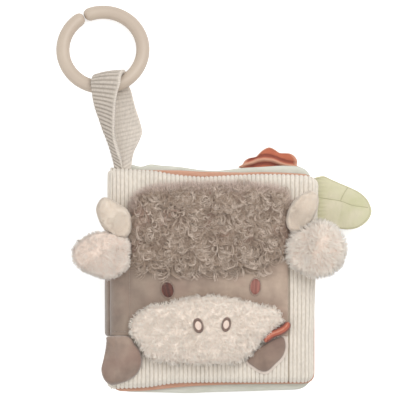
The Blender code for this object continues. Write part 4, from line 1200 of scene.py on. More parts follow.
def front_cover():
    """The front cover's corduroy, bowed over its wadding, and its coral lining."""
    xs, gx = section(SHOULDER_WIDTH, SHOULDER_DROP, EDGE_RADIUS, COVER_DEPTH)
    vs, gy = end_section(COVER_DEPTH, EDGE_RADIUS)

    def height(x, y, share):
        return RIM_Z + COVER_DEPTH * share + crown(x, y) + COVER_WAVES * ripple(x, y, 0.06, 9)

    seams = ((SIDE_SEAM_X, SIDE_SEAM_TOP),)
    made = ribbed("front_cover_ribs", xs, gx, vs, gy, height, 1, seams)
    ride_as(made, "front_cover", "corduroy", "front_cover_corduroy", "front_cover_batting")
    edges = (LINING_TOP_PX, LINING_BOTTOM_PX)
    lining_pad("front_cover", CORAL, "coral_cotton", edges)


def back_cover():
    """The back cover's corduroy, flat on the floor, and its pale lining."""
    low_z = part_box("back_cover_corduroy")[0].z
    rim_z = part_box("back_cover_corduroy")[1].z
    depth = rim_z - low_z
    xs, gx = section(BACK_ROUND, depth, BACK_ROUND, depth)
    vs, gy = end_section(depth, BACK_ROUND)

    def height(x, y, share):
        return rim_z - depth * share + WALE_HEIGHT / 2

    made = ribbed("back_cover_ribs", xs, gx, vs, gy, height, -1)
    ride_as(made, "back_cover", "corduroy", "back_cover_corduroy", "back_cover_batting")
    edges = (TOP_EDGE_PX, BOTTOM_EDGE_PX)
    lining_pad("back_cover", PAGE, "page_cotton", edges)


def rectangle(left, right, bottom, top, corner, count):
    """A rounded rectangle's outline."""
    quarter = np.linspace(0, math.pi / 2, 9)
    corners = (
        (right - corner, top - corner, 0),
        (left + corner, top - corner, 1),
        (left + corner, bottom + corner, 2),
        (right - corner, bottom + corner, 3),
    )
    line = []
    for cx, cy, turn in corners:
        a = quarter + turn * math.pi / 2
        line.append(np.stack([cx + corner * np.cos(a), cy + corner * np.sin(a)], 1))
    return evenly(np.concatenate(line), count, closed=True)


def fit_edges(outline, low, high, edges):
    """Bends an outline's top and bottom to the soft edges, with its corners kept."""
    top, bottom = edges
    shaped = outline.copy()
    share = outline[:, 1] / np.where(outline[:, 1] > 0, high, -low)
    goal = np.where(share > 0, edge_line(outline[:, 0], top), -edge_line(outline[:, 0], bottom))
    shaped[:, 1] = share * goal
    return shaped


def lining_pad(body, material, slot, edges):
    """A cover's lining: a soft cloth rolled at its edge."""
    node = f"{body}_lining"
    low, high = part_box(node)
    outline = rectangle(low.x + GAP, high.x - GAP, low.y, high.y, CORNER_RADIUS, 220)
    outline = fit_edges(outline, low.y, high.y, edges)

    def top(x, y, share):
        return high.z - LINING_ROLL * share**20

    def bottom(x, y, share):
        return low.z + LINING_WAVES + LINING_ROLL * share**20 + LINING_WAVES * ripple(x, y, 0.03, 2)

    made = pillow(f"{node}_cloth", outline, bottom, top, material, rings=16)
    ride_as(made, body, slot, node)


# Pages


def page(number):
    """A page: two cloths over a film, sewn round their edge, with soft quilting."""
    nodes = [f"page_{number}_front", f"page_{number}_back", f"page_{number}_crinkle_film"]
    low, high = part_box(nodes[0])
    bottom_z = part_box(nodes[1])[0].z
    middle = (bottom_z + high.z) / 2
    half = (high.z - bottom_z) / 2
    outline = rectangle(low.x, high.x, low.y, high.y, PAGE_CORNER, 260)
    outline = fit_edges(outline, low.y, high.y, (PAGE_TOP_PX, PAGE_BOTTOM_PX))

    def swell(x, y, share):
        edge = PAGE_RIM + (half - PAGE_RIM) * np.sqrt(np.clip(1 - share**5, 0, 1))
        seam = PAGE_SEAM_DEPTH * bell(share - PAGE_SEAM_SHARE, PAGE_SEAM_WIDTH)
        return edge - seam - PAGE_SLACK + PAGE_WAVES * ripple(x, y, 0.035, number), 0

    faces = both_faces(middle, swell)
    made = pillow(f"page_{number}_cloth", outline, *faces, PAGE, rings=22, spread=1.2)
    puff(made, *PUFFS["page"], slack=0.01, held=0.9)
    ride_as(made, f"page_{number}", "page_cotton", *nodes)


# Spine


def spine():
    """The spine's cloth in two wraps, one over and one under, and the spine's lining."""
    low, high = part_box("spine_velour")
    out_x = low.x
    cloth_low, cloth_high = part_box("spine_corduroy")
    bands = (
        ("lower", cloth_low.y - SPINE_OVERHANG, low.y, CORDUROY, "corduroy"),
        ("middle", low.y - BAND_LAP_LOW, high.y + BAND_LAP_HIGH, VELOUR, "taupe_velour"),
        ("upper", high.y, cloth_high.y + SPINE_OVERHANG, CORDUROY, "corduroy"),
    )
    for band, start, end, material, slot in bands:
        bulge = 0.0 if band == "middle" else SPINE_BULGE
        if band == "middle":
            last = ((out_x + 0.0014, 0.0222), (LEFT - 0.0018, 0.0240), (LEFT - 0.0004, 0.0247))
        else:
            last = ((out_x + 0.0026, 0.0228), (LEFT - 0.0006, 0.0258), (LEFT + 0.0012, 0.0280))
        over = rounded(((out_x + bulge, 0.0145), (out_x + bulge + 0.0002, 0.0185), *last), 40, closed=False)
        under = rounded(
            ((LEFT + 0.0022, 0.0012), (LEFT - 0.0004, 0.0030), (out_x + 0.0014 + bulge * 0.6, 0.0062),
             (out_x + 0.0003 + bulge * 0.9, 0.0100), (out_x + bulge, 0.0148)), 40, closed=False,
        )
        cut = (start, end, material, slot)
        wrap(f"spine_{band}_over", over, *cut, ("spine", "front_cover"), SPINE_UPPER_FOLD)
        wrap(f"spine_{band}_under", under, *cut, ("back_cover", "spine"), SPINE_LOWER_FOLD)
    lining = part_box("spine_lining")
    outline = rectangle(lining[0].x, lining[1].x, lining[0].y, lining[1].y, GAP, 120)
    low, high = flat_at(lining[0].z), flat_at(lining[1].z)
    made = pillow("spine_lining_cloth", outline, low, high, PAGE, rings=4)
    ride_as(made, "spine", "page_cotton", "spine_lining")


def drawn_in(past, radius):
    """How far a rounded end is drawn in, at distances past the start of its arc."""
    past = np.clip(past, 0, radius)
    return radius - np.sqrt(radius**2 - past**2)


def wrap(name, line, start, end, material, slot, bodies, levels):
    """A cloth strip along y that follows a line across the fold."""
    rows = np.arange(start, end + 1e-6, (end - start) / round((end - start) / SPINE_ROW))
    heading = unit(np.gradient(line, axis=0))
    out = np.stack([-heading[:, 1], heading[:, 0]], 1)
    length = np.linalg.norm(np.diff(line, axis=0), axis=1).sum()
    turn = np.linspace(0, length / WALE, len(line))
    rib = 1 - np.abs((turn % 1) * 2 - 1) ** WALE_SHARPNESS
    depth = WALE_HEIGHT * 0.8 * rib if material is CORDUROY else np.zeros(len(line))
    face = line + out * depth[:, None]
    back = line - out * SPINE_CLOTH
    waves = SPINE_WAVES * ripple(rows[:, None], np.zeros((1, len(line))), 0.02, 4)
    if material is VELOUR:
        past = BAND_END_RADIUS - np.minimum(rows - rows[0], rows[-1] - rows)
        outside = np.clip((LEFT - line[:, 0]) / (LEFT - line[:, 0].min()), 0, 1)
        waves = waves - drawn_in(past, BAND_END_RADIUS)[:, None] * outside
    else:
        past = np.abs(rows) - (np.abs(rows).max() - SPINE_END_RADIUS)
        waves = waves - drawn_in(past, SPINE_END_RADIUS)[:, None]
    y = np.repeat(rows[:, None], len(line), 1)
    sides = []
    for edge in (face, back):
        z = np.repeat(edge[None, :, 1], len(rows), 0)
        sides.append(np.dstack([edge[None, :, 0] - waves, y, z]))
    # The rib mark sets the corduroy's painted shade in its furrows.
    made = slab(name, *sides, material, {"rib": np.repeat(rib[None], len(rows), 0)})
    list(bodies)
    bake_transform(made)
    label(made, slot, SPINE_STANDS_FOR.get(name, ()))


# Face


def face_section():
    """The face panel's line across: down the cover's side at the spine, over its shoulder and
    flat to its right seam. x, height, and the normal."""
    quarter = np.linspace(0, math.pi / 2, 24)
    foot = np.array([[LEFT, RIM_Z + PANEL_SIDE_START]])
    round_x = LEFT + SHOULDER_WIDTH * (1 - np.cos(quarter))
    round_z = FACE_Z - SHOULDER_DROP + SHOULDER_DROP * np.sin(quarter)
    end = np.array([[PANEL_RIGHT, FACE_Z]])
    line = np.concatenate([foot, np.stack([round_x, round_z], 1), end])
    count = round((PANEL_RIGHT - LEFT + SHOULDER_DROP) / PANEL_STEP)
    line = evenly(line, count)
    heading = unit(np.gradient(line, axis=0))
    return line, np.stack([-heading[:, 1], heading[:, 0]], 1)


def crown(x, y):
    """How far a cover's stuffed middle stands over its edges."""
    across = np.minimum(1, np.abs(x) / RIGHT)
    along = np.minimum(1, np.abs(y) / HALF_HEIGHT)
    return COVER_CROWN * (1 - across**4) * (1 - along**4)


def face_panel():
    """The velour face, seamed at the shoulder and hemmed at its lower edge."""
    line, normal = face_section()
    rows = round((PANEL_TOP - PANEL_BOTTOM) / PANEL_STEP)
    x, y = np.meshgrid(line[:, 0], np.linspace(PANEL_BOTTOM, PANEL_TOP, rows))
    z = line[None, :, 1] + crown(x, y)
    seam = bell(x - PANEL_SEAM_X, PANEL_SEAM_WIDTH)
    hem = bell(y - (PANEL_BOTTOM + PANEL_HEM), PANEL_HEM_WIDTH) * (x < PANEL_HEM_END)
    soft = 0.00025 * ripple(x, y, 0.02, 6) + 0.00008 * ripple(x, y, 0.0035, 16)
    cloth = PANEL_CLOTH * np.clip((x - LEFT) / 0.004 + 0.35, 0.35, 1)
    lift = FACE_SEAT * 0.6 + cloth + soft - PANEL_SEAM_DEPTH * seam - PANEL_HEM_DEPTH * hem
    across = normal[None]
    top = np.dstack([x + across[..., 0] * lift, y, z + across[..., 1] * lift])
    seat = FACE_SEAT * 0.5
    under = np.dstack([x + across[..., 0] * seat, y, z + across[..., 1] * seat])
    made = slab("face_velour", top, under, VELOUR)
    ride_as(made, "front_cover", "taupe_velour", "face_panel")
    seam = [(PANEL_SEAM_X, PANEL_BOTTOM + 0.001), (PANEL_SEAM_X, SEAM_STITCHES_TOP)]
    seam_stitches("face_seam_stitches", seam, FACE_SEAT + 0.0006)
    hem_y = PANEL_BOTTOM + PANEL_HEM
    hem = [(PANEL_LEFT + 0.002, hem_y), (HEM_STITCHES_END, hem_y)]
    seam_stitches("face_hem_stitches", hem, FACE_SEAT + 0.0009)


def seam_stitches(name, ends, lift):
    """A row of short stitches over the face between two points."""
    (x0, y0), (x1, y1) = ends
    length = math.hypot(x1 - x0, y1 - y0)
    count = max(2, round(length / STITCH_STEP))
    starts = np.linspace(0, 1 - 1 / count, count)
    t = np.linspace(0, STITCH_SHARE / count, 6)
    at = starts[:, None] + t[None]
    x = x0 + (x1 - x0) * at
    y = y0 + (y1 - y0) * at
    rise = STITCH_RISE * np.sin(np.linspace(0, math.pi, 6))[None]
    paths = np.dstack([x, y, face_height(x, y) + lift + rise])
    radii = np.full((1, 6), STITCH_RADIUS)
    made = strands(name, paths, radii, np.linspace(0, 1, count), SEAM_THREAD, 6)
    ride_as(made, "front_cover", "taupe_velour")


def forelock():
    """The curly forelock: a backing pad under curls that lie in whorls and hang over its lower
    edge, with wisps that fade over the corduroy above."""
    outline = rounded(plan(FORELOCK_PX), 110)
    centre = middle_of(outline)
    inner = scaled(outline, 0.97)

    def ground(x, y, share=None):
        share = share_of(inner, x, y) if share is None else share
        pad = dome(np.minimum(share, 1), FORELOCK_RISE, FORELOCK_RIM, 3) + 0.0004 * ripple(x, y, 0.008, 8)
        past = np.clip((share - 1) / 0.05, 0, 1)
        return face_height(x, y) + APPLIQUE_LIFT + pad * (1 - past) + 0.0004 * past

    base = pillow("forelock_backing", inner, on_face(APPLIQUE_LIFT), ground, FORELOCK_BACKING)
    ride_as(base, "front_cover", "curly_pile", "forelock_pile")

    def upward(points, normals):
        return normals[:, 2] > 0.05

    def combed(points, normals):
        out = (points[:, :2] - centre) / 0.06
        return np.stack([out[:, 0] * 0.5, out[:, 1] * 0.5 - 0.75, np.zeros(len(points))], 1)

    def whorls(x, y):
        down = np.clip((centre[1] - y) / 0.028, -1, 1)
        heading = -math.pi / 2 + (x - centre[0]) * 9 * (1 - 0.5 * np.maximum(down, 0))
        heading = heading + (1.9 - 1.2 * np.maximum(down, 0)) * ripple(x, y, FORELOCK_WHORL, 18) * 1.8
        return heading, ripple(x, y, FORELOCK_HOOK, 7) * 2

    def tinted(x, y):
        places = plan(FORELOCK_TINTS_PX)
        gap = np.hypot(x[:, None] - places[:, 0], y[:, None] - places[:, 1]).min(1)
        return FORELOCK_TINT * bell(gap, FORELOCK_TINT_RADIUS)

    fuzz = fur(
        "forelock_fuzz", base, FORELOCK_FUZZ, *HAIRS["forelock_fuzz"], combed, upward, 14,
        steps=4, pull=0.5, lock=9, rough=0.8, bow=0.5, tint=tinted,
    )
    ride_as(fuzz, "front_cover", "curly_pile")
    for k, (seed, length, lift) in enumerate(FORELOCK_LAYERS):
        made = curls(
            f"forelock_curls_{k + 1}", inner, ground, FORELOCK_PILE, FORELOCK_CURLS, CURL_FIBRES,
            CURL_RADIUS, length, lift, whorls, seed, tinted,
        )
        ride_as(made, "front_cover", "curly_pile")

    def upper_rim(points, normals):
        start = WISPS_FROM - WISPS_LOWER_AT_SIDES * (np.abs(points[:, 0]) > 0.05)
        return (normals[:, 2] > 0.02) * ((points[:, 1] - centre[1]) > start)

    def outward(points, normals):
        out = unit((points[:, :2] - centre) / np.array([0.056, 0.031]))
        return np.stack([out[:, 0] * 1.5, out[:, 1] * 2.4, np.full(len(points), -0.5)], 1)

    wisps = fur(
        "forelock_wisps", base, FORELOCK_WISPS, *HAIRS["forelock_wisps"], outward, upper_rim, 15,
        steps=6, pull=0.2, lock=5, rough=0.8, bow=0.4,
    )
    ride_as(wisps, "front_cover", "curly_pile")


def muzzle():
    """The fleece muzzle: a stuffed pad under looped wool that lies in rows."""
    outline = rounded(plan(MUZZLE_PX), 220)
    centre = middle_of(outline)
    inner = scaled(outline, 0.965)

    def high(x, y, share):
        rows = 0.5 + 0.5 * np.cos(y / MUZZLE_ROW * math.tau)
        furrow = MUZZLE_FURROW * rows**6 * (y < MUZZLE_ROWS_BELOW)
        lumps = 0.0005 * ripple(x, y, 0.0042, 23) + 0.0003 * ripple(x, y, 0.0024, 24)
        pad = dome(share, MUZZLE_RISE - MUZZLE_WOOL, MUZZLE_RIM)
        return face_height(x, y) + APPLIQUE_LIFT + pad - furrow + lumps

    base = pillow("muzzle_fleece", inner, on_face(APPLIQUE_LIFT), high, SHERPA_BACKING, rings=30)
    ride_as(base, "front_cover", "sherpa_fleece", "muzzle_sherpa", "muzzle_stuffing")
    spots = [(plan([NOSTRILS[s][0]])[0], NOSTRILS[s][1:3]) for s in NOSTRILS]

    def open_wool(points, normals):
        keep = normals[:, 2] > -0.2
        for place, (width, height) in spots:
            across = (points[:, 0] - place[0]) / (width * 0.62)
            along = (points[:, 1] - place[1]) / (height * 0.6)
            keep = keep & (across**2 + along**2 > 1)
        rows = 0.5 + 0.5 * np.cos(points[:, 1] / MUZZLE_ROW * math.tau)
        return keep * (1 - 0.85 * rows**6 * (points[:, 1] < MUZZLE_ROWS_BELOW))

    def outward(points, normals):
        out = (points[:, :2] - centre) / np.array([0.054, 0.025])
        return np.stack([out[:, 0] * 0.7, out[:, 1] * 0.7 - 0.15, np.zeros(len(points))], 1)

    for k, seed in enumerate((21, 22)):
        made = fur(
            f"muzzle_wool_{k + 1}", base, SHERPA, *HAIRS["muzzle_wool"], outward, open_wool, seed,
            steps=5, pull=0.75, lock=9, rough=0.5, bow=0.45,
        )
        ride_as(made, "front_cover", "sherpa_fleece")
    for side, facts in NOSTRILS.items():
        nostril(side, facts, high, inner)


def oval_points(centre, width, height, tilt, angles, scale=1.0):
    """Points of a tilted oval."""
    a = np.cos(angles) * width / 2 * scale
    b = np.sin(angles) * height / 2 * scale
    return np.stack([centre[0] + a * math.cos(tilt) - b * math.sin(tilt),
                     centre[1] + a * math.sin(tilt) + b * math.cos(tilt)], -1)


def satin_ring(name, centre, width, height, tilt, level, count, inner, outer, material):
    """Short stitches side by side round an oval."""
    angles = np.linspace(0, math.tau, count, endpoint=False)
    t = np.linspace(0, 1, 7)
    scale = inner + (outer - inner) * t
    flat = np.stack([oval_points(centre, width, height, tilt, angles, s) for s in scale], axis=1)
    rise = 0.0006 * np.sin(math.pi * t)
    paths = np.dstack([flat, np.broadcast_to(level + rise, (count, 7))])
    tones = np.random.default_rng(5).random(count)
    return strands(name, paths, np.full((1, 7), THREAD_RADIUS), tones, material, 5)


def satin_fill(name, centre, width, height, tilt, level, count, scale, material, rise=0.0005):
    """Stitches laid side by side along an oval."""
    across = np.linspace(-0.94, 0.94, count)
    half = np.sqrt(1 - across**2) * height / 2 * scale
    t = np.linspace(-1, 1, 9)
    a = np.repeat(across[:, None] * width / 2 * scale, 9, axis=1)
    b = half[:, None] * t[None]
    x = centre[0] + a * math.cos(tilt) - b * math.sin(tilt)
    y = centre[1] + a * math.sin(tilt) + b * math.cos(tilt)
    z = level + rise * np.sqrt(np.clip(1 - t**2, 0, 1))[None] * np.sqrt(1 - across**2)[:, None]
    paths = np.dstack([x, y, z])
    tones = np.random.default_rng(7).random(count)
    return strands(name, paths, np.full((1, 9), THREAD_RADIUS * 1.15), tones, material, 5)


def nostril(side, facts, high, outline):
    """A satin-stitched nostril on its bed in the wool."""
    pixel, *oval = facts
    centre = plan([pixel])[0]
    level = float(high(*centre, share_of(outline, *centre))) + MUZZLE_WOOL
    bed_level = level - NOSTRIL_BED_DROP
    fill = satin_fill(f"nostril_{side}_fill", centre, *oval, bed_level, 17, 0.72, NOSTRIL_FILL_THREAD)
    ring = satin_ring(f"nostril_{side}_ring", centre, *oval, level, 56, 0.58, 1.02, NOSTRIL_THREAD)
    rim = oval_points(centre, *oval, np.linspace(0, math.tau, 28, endpoint=False), 0.98)
    under, over = flat_at(level - NOSTRIL_BED_DEPTH), flat_at(bed_level)
    bed = pillow(f"nostril_{side}_bed", rim, under, over, SHERPA_BACKING, rings=4)
    ride_as(bed, "front_cover", "sherpa_fleece")
    ride_as(fill, "front_cover", "nostril_thread")
    ride_as(ring, "front_cover", "nostril_thread", f"nostril_{side}")


def eye(side):
    """A satin-stitched eye on the velour, with a ring of edge stitches."""
    pixel, *oval = EYES[side]
    centre = plan([pixel])[0]
    level = float(face_height(*centre)) + FACE_SEAT + PANEL_CLOTH + 0.0002
    fill = satin_fill(f"eye_{side}_fill", centre, *oval, level, 22, 1.0, EYE_THREADS[side], 0.0007)
    ring = satin_ring(f"eye_{side}_edge", centre, *oval, level - 0.0001, 60, 0.98, 1.15, EYE_EDGE_THREAD)
    ride_as(fill, "front_cover", "eye_thread", f"eye_{side}")
    ride_as(ring, "front_cover", "eye_thread")


# Stuffed limbs


def limb_pad(name, outline, base, tip, cad_nodes, material, thin, power=2.2):
    """A stuffed limb over its outline: thick along its middle and thinner at its root."""
    boxes = [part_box(n) for n in cad_nodes]
    low = min(b[0].z for b in boxes)
    high = max(b[1].z for b in boxes)
    base = np.asarray(base)
    axis = np.asarray(tip) - base
    length2 = float(axis @ axis)

    def from_root(x, y):
        return (x - base[0]) * axis[0] + (y - base[1]) * axis[1]

    def middle_and_half(x, y, share):
        along = np.clip(from_root(x, y) / length2, 0, 1)
        grow = thin + (1 - thin) * eased(along / 0.6)
        half = (high - low) / 2 * grow * np.sqrt(np.clip(1 - share**power, 0, 1)) * 0.98
        seat = float(face_height(*base)) + LIMB_SEAT
        root = seat + (high - low) / 2 * thin
        lift = eased(along / 0.7)
        return root + ((low + high) / 2 - root) * lift, half

    def top(x, y, share):
        middle, half = middle_and_half(x, y, share)
        return middle + half

    def bottom(x, y, share):
        middle, half = middle_and_half(x, y, share)
        away = np.clip(from_root(x, y) / math.sqrt(length2), 0, None)
        over_cover = (np.abs(x) < RIGHT + 0.001) * (face_height(x, y) + LIMB_SEAT + LIMB_CLEARANCE * away)
        lowest = np.maximum(np.maximum(middle - half, low), over_cover)
        return np.minimum(lowest, middle + half - LIMB_LEAST)

    return pillow(name, outline, bottom, top, material, rings=14, spread=2.0)


def in_the_open(points, normals):
    """Leaves the side of a limb that faces the cover without long pile."""
    over_cover = np.abs(points[:, 0]) < RIGHT + 0.002
    return 1.0 - over_cover * (normals[:, 2] < -0.25)


def ear(side, pixels):
    """A plush ear: a stuffed pad under long soft pile."""
    outline = rounded(plan(pixels), 90)
    centre = middle_of(outline)
    inner = scaled(outline, EAR_PAD_SHARE[side])
    root, tip = plan(EAR_AXES_PX[side])
    nodes = (f"ear_{side}", f"ear_{side}_stuffing")
    pad = limb_pad(f"ear_{side}_pad", inner, root, tip, nodes, EAR_BACKINGS[side], ROOT_SHARES["ear"])
    puff(pad, *PUFFS["ear"])
    bend_as(pad, f"ear_{side}_flop", centre, "ear_plush", *nodes)

    def keep(points, normals):
        seen = in_the_open(points, normals)
        if side == "right":
            return seen
        smooth_side = (points[:, 1] - centre[1]) - (points[:, 0] - centre[0]) * 0.8
        return seen * np.where(smooth_side > 0.0, 0.25, 1.0)

    def falling(points, normals):
        out = (points[:, :2] - centre) / 0.016
        swirl = ripple(points[:, 0], points[:, 1], 0.010, 51) * 1.6
        other = ripple(points[:, 0], points[:, 1], 0.010, 52) * 1.6
        lift = np.zeros(len(points))
        return np.stack([out[:, 0] * 1.5 + swirl, out[:, 1] * 1.5 - 0.3 + other, lift], 1)

    count, length, seed, short_count = EAR_HAIRS[side]
    made = fur(
        f"ear_{side}_plush", pad, EAR_PILES[side], count, length, EAR_HAIR_RADIUS, falling, keep, seed,
        steps=5, pull=0.6, lock=9, rough=0.4, bow=0.35,
    )
    bend_as(made, f"ear_{side}_flop", centre, "ear_plush")
    short = fur(
        f"ear_{side}_nap", pad, EAR_PILES[side], short_count, *HAIRS["ear_nap"], None, in_the_open, 33,
        steps=3, pull=0.2, rough=0.5,
    )
    bend_as(short, f"ear_{side}_flop", centre, "ear_plush")


def horn(side, pixels):
    """A velour horn with a sewn edge and a soft nap."""
    outline = rounded(plan(pixels), 80)
    centre = middle_of(outline)
    inner = scaled(outline, 0.98)
    root, tip = plan(HORN_AXES_PX[side])
    nodes = (f"horn_{side}", f"horn_{side}_stuffing")
    thin = ROOT_SHARES["horn"]
    pad = limb_pad(f"horn_{side}_pad", inner, root, tip, nodes, CREAM_VELOUR, thin, power=2.4)
    puff(pad, *PUFFS["horn"])
    bend_as(pad, f"horn_{side}_flop", centre, "horn_velour", *nodes)
    nap = fur(
        f"horn_{side}_nap", pad, HORN_PILE, *HAIRS["horn_nap"], None, in_the_open, 41,
        steps=3, pull=0.1, rough=0.5,
    )
    bend_as(nap, f"horn_{side}_flop", centre, "horn_velour")


def hoof():
    """The padded hoof over the lower corner at the spine."""
    outline = rounded(plan(HOOF_PX), 100)
    low_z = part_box("hoof_velour")[0].z

    def low(x, y, share):
        return np.maximum(face_height(x, y) + FACE_SEAT, low_z)

    def high(x, y, share):
        fold = 0.0006 * bell(y + HOOF_FOLD, 0.002)
        pad = dome(share, HOOF_RISE, HOOF_RIM, 2.4)
        return low(x, y, share) + pad - fold + 0.0002 * ripple(x, y, 0.01, 3)

    pad = pillow("hoof_pad", outline, low, high, HOOF_VELOUR, rings=16)
    puff(pad, *PUFFS["hoof"])
    bend_as(pad, "hoof_lift", outline.mean(0), "taupe_velour", "hoof_velour", "hoof_stuffing")


def mouth_leaf():
    """The velour leaf at the mouth on its paler backing."""
    outline = rounded(plan(MOUTH_LEAF_PX), 80)
    wide = scaled(outline, 1 + MOUTH_LEAF_BORDER / MOUTH_LEAF_HALF) + np.array(MOUTH_BORDER_SHIFT)

    def backing_top(x, y, share):
        return face_height(x, y) + MOUTH_BACKING_TOP - 0.0004 * share**8

    def front_top(x, y, share):
        pad = dome(share, MOUTH_LEAF_RISE, 0.0006, 4)
        return face_height(x, y) + MOUTH_LEAF_SEAT + pad + 0.0002 * ripple(x, y, 0.008, 4)

    backing = pillow("mouth_leaf_border", wide, on_face(FACE_SEAT), backing_top, LEAF_BACKING, rings=8)
    bend_as(backing, "mouth_leaf_lift", outline.mean(0), "leaf_backing_cloth", "mouth_leaf_backing")
    seat = on_face(MOUTH_LEAF_SEAT)
    front = pillow("mouth_leaf_velour", outline, seat, front_top, MOUTH_VELOUR, rings=10)
    bend_as(front, "mouth_leaf_lift", outline.mean(0), "taupe_velour", "mouth_leaf_front")


def petal():
    """The wavy petal that stands on edge beside the muzzle, folded over at its top."""
    line = rounded(plan(PETAL_LINE_PX), 60, closed=False)
    heading = unit(np.gradient(line, axis=0))
    side = np.stack([-heading[:, 1], heading[:, 0]], 1)
    across = np.linspace(-1, 1, 15)
    along = np.linspace(-1, 1, 60)
    fade = np.sqrt(np.clip(1 - along**8, 0.05, 1))
    rise = PETAL_RISE * (0.92 + 0.06 * np.sin(along * 0.9 * math.tau))
    rows = []
    under = []
    for a in across:
        place = line + side * (a * PETAL_WIDTH / 2 * fade)[:, None]
        ground = face_height(place[:, 0], place[:, 1]) + APPLIQUE_LIFT + 0.0003
        fold = 0.0004 * bell(a - 0.15, 0.10)
        crest = rise * (0.12 + 0.88 * math.sqrt(1 - 0.94 * a * a)) + fold
        rows.append(np.column_stack([place, ground + crest]))
        low = ground + crest - PETAL_FLAP if abs(a) > PETAL_HOLLOW else ground
        under.append(np.column_stack([place, np.minimum(low, ground + crest - PETAL_LEAST)]))
    # Painted light, as the crease mark: a highlight along the petal's crest, and shade at its curled edges
    # and at its lower left end.
    middle = bell(across[:, None] - 0.1, 0.16)
    middle = middle * (0.75 + 0.25 * np.sin(along * 3.1 * math.tau))
    edges = np.clip((np.abs(across[:, None]) - PETAL_HOLLOW) / 0.4, 0, 1)
    end = bell(along + 1, 0.22) * np.clip(0.3 - across[:, None], 0, 1)
    crease = middle - 0.8 * edges - 1.2 * end
    made = slab("mouth_petal_cloth", np.array(rows), np.array(under), PETAL_CLOTH, {"crease": crease})
    ride_as(made, "mouth_petal", "terracotta_cotton", "mouth_petal")


def leaf():
    """The sage leaf tab with stitched veins."""
    outline = rounded(plan(LEAF_PX), 120)
    low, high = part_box("leaf_front")
    back_low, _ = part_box("leaf_back")
    middle = (back_low.z + high.z) / 2
    outline[:, 0] = np.maximum(outline[:, 0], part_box("page_1_front")[1].x - TAB_SEAM)
    veins = [rounded(plan(v), 30, closed=False) for v in LEAF_VEINS_PX]
    every = np.concatenate(veins)

    def groove(x, y):
        dx, dy = x[..., None] - every[:, 0], y[..., None] - every[:, 1]
        gap = np.sqrt(dx**2 + dy**2).min(-1)
        return bell(gap, VEIN_WIDTH)

    def swell(x, y, share):
        root = np.clip((x - low.x) / LEAF_CREASE_REACH, 0, 1)
        creases = LEAF_CREASE * (1 - root) * np.sin(y / LEAF_CREASE_STEP * math.tau)
        body = TAB_RIM + LEAF_SWELL * np.sqrt(np.clip(1 - share**3, 0, 1))
        veins_in = VEIN_DEPTH * groove(np.asarray(x), np.asarray(y)) * (share < 0.93)
        return body - veins_in, creases + LEAF_WAVES * ripple(x, y, 0.03, 5)

    bottom, top = both_faces(middle, swell)
    made = pillow("leaf_cloth", outline, bottom, top, LEAF_GREEN, rings=26, spread=1.1)
    bend_as(made, "leaf_flop", outline.mean(0), "leaf_cotton", "leaf_front", "leaf_back")
    for k, vein in enumerate(veins[:STITCHED_VEINS]):
        share = np.array([share_of(outline, *p) for p in vein])
        path = np.column_stack([vein, top(vein[:, 0], vein[:, 1], share) + 0.0001])
        stitch = tube(f"leaf_vein_{k + 1}", path, 0.00022, LEAF_THREAD, 6)
        bend_as(stitch, "leaf_flop", outline.mean(0), "leaf_cotton")
    hem = scaled(outline, LEAF_HEM)
    path = np.column_stack([hem, top(hem[:, 0], hem[:, 1], np.full(len(hem), LEAF_HEM)) + 0.0001])
    edge = tube("leaf_edge_stitch", path, 0.00013, LEAF_THREAD, 5, closed=True)
    bend_as(edge, "leaf_flop", outline.mean(0), "leaf_cotton")


def flower():
    """The terracotta flower tab with soft petals."""
    outline = rounded(plan(FLOWER_PX), 110)
    low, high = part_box("flower_front")
    back_low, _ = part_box("flower_back")
    middle = (back_low.z + high.z) / 2
    fold = rounded(plan(FLOWER_FOLD_PX), 40, closed=False)

    def crease(x, y):
        """Over 0 along the folded petal's edge, for its crest and a painted highlight there, under 0 for the
        painted shade below and above it.
        """
        gap = y - np.interp(x, fold[:, 0], fold[:, 1])
        edge = bell(gap, 0.0013)
        below = bell(gap + 0.0026, 0.0011)
        above = 0.8 * bell(gap - 0.0028, 0.0012)
        return edge - below - above

    def body(x, y, share):
        free = np.clip((y - low.y) / FLOWER_FREE, 0, 1)
        folds = FLOWER_WAVE * np.sin((x - FLOWER_WAVE_START) / FLOWER_WAVE_STEP * math.tau) * free
        crest = FLOWER_CREST * crease(x, y)
        hem = FLOWER_HEM * bell(share - 0.92, 0.05)
        half = TAB_RIM + FLOWER_SWELL * np.sqrt(np.clip(1 - share**3, 0, 1)) + hem
        return half, folds + crest * np.clip(1 - share, 0, 0.2) * 5

    faces = both_faces(middle, body)
    # The crease mark paints the flower's light: a highlight along its folded edge, shade below and above it.
    marks = {"crease": crease}
    made = pillow("flower_cloth", outline, *faces, FLOWER_CLOTH, rings=34, marks=marks)
    bend_as(made, "flower_flop", outline.mean(0), "terracotta_cotton", "flower_front", "flower_back")


# Ring and strap


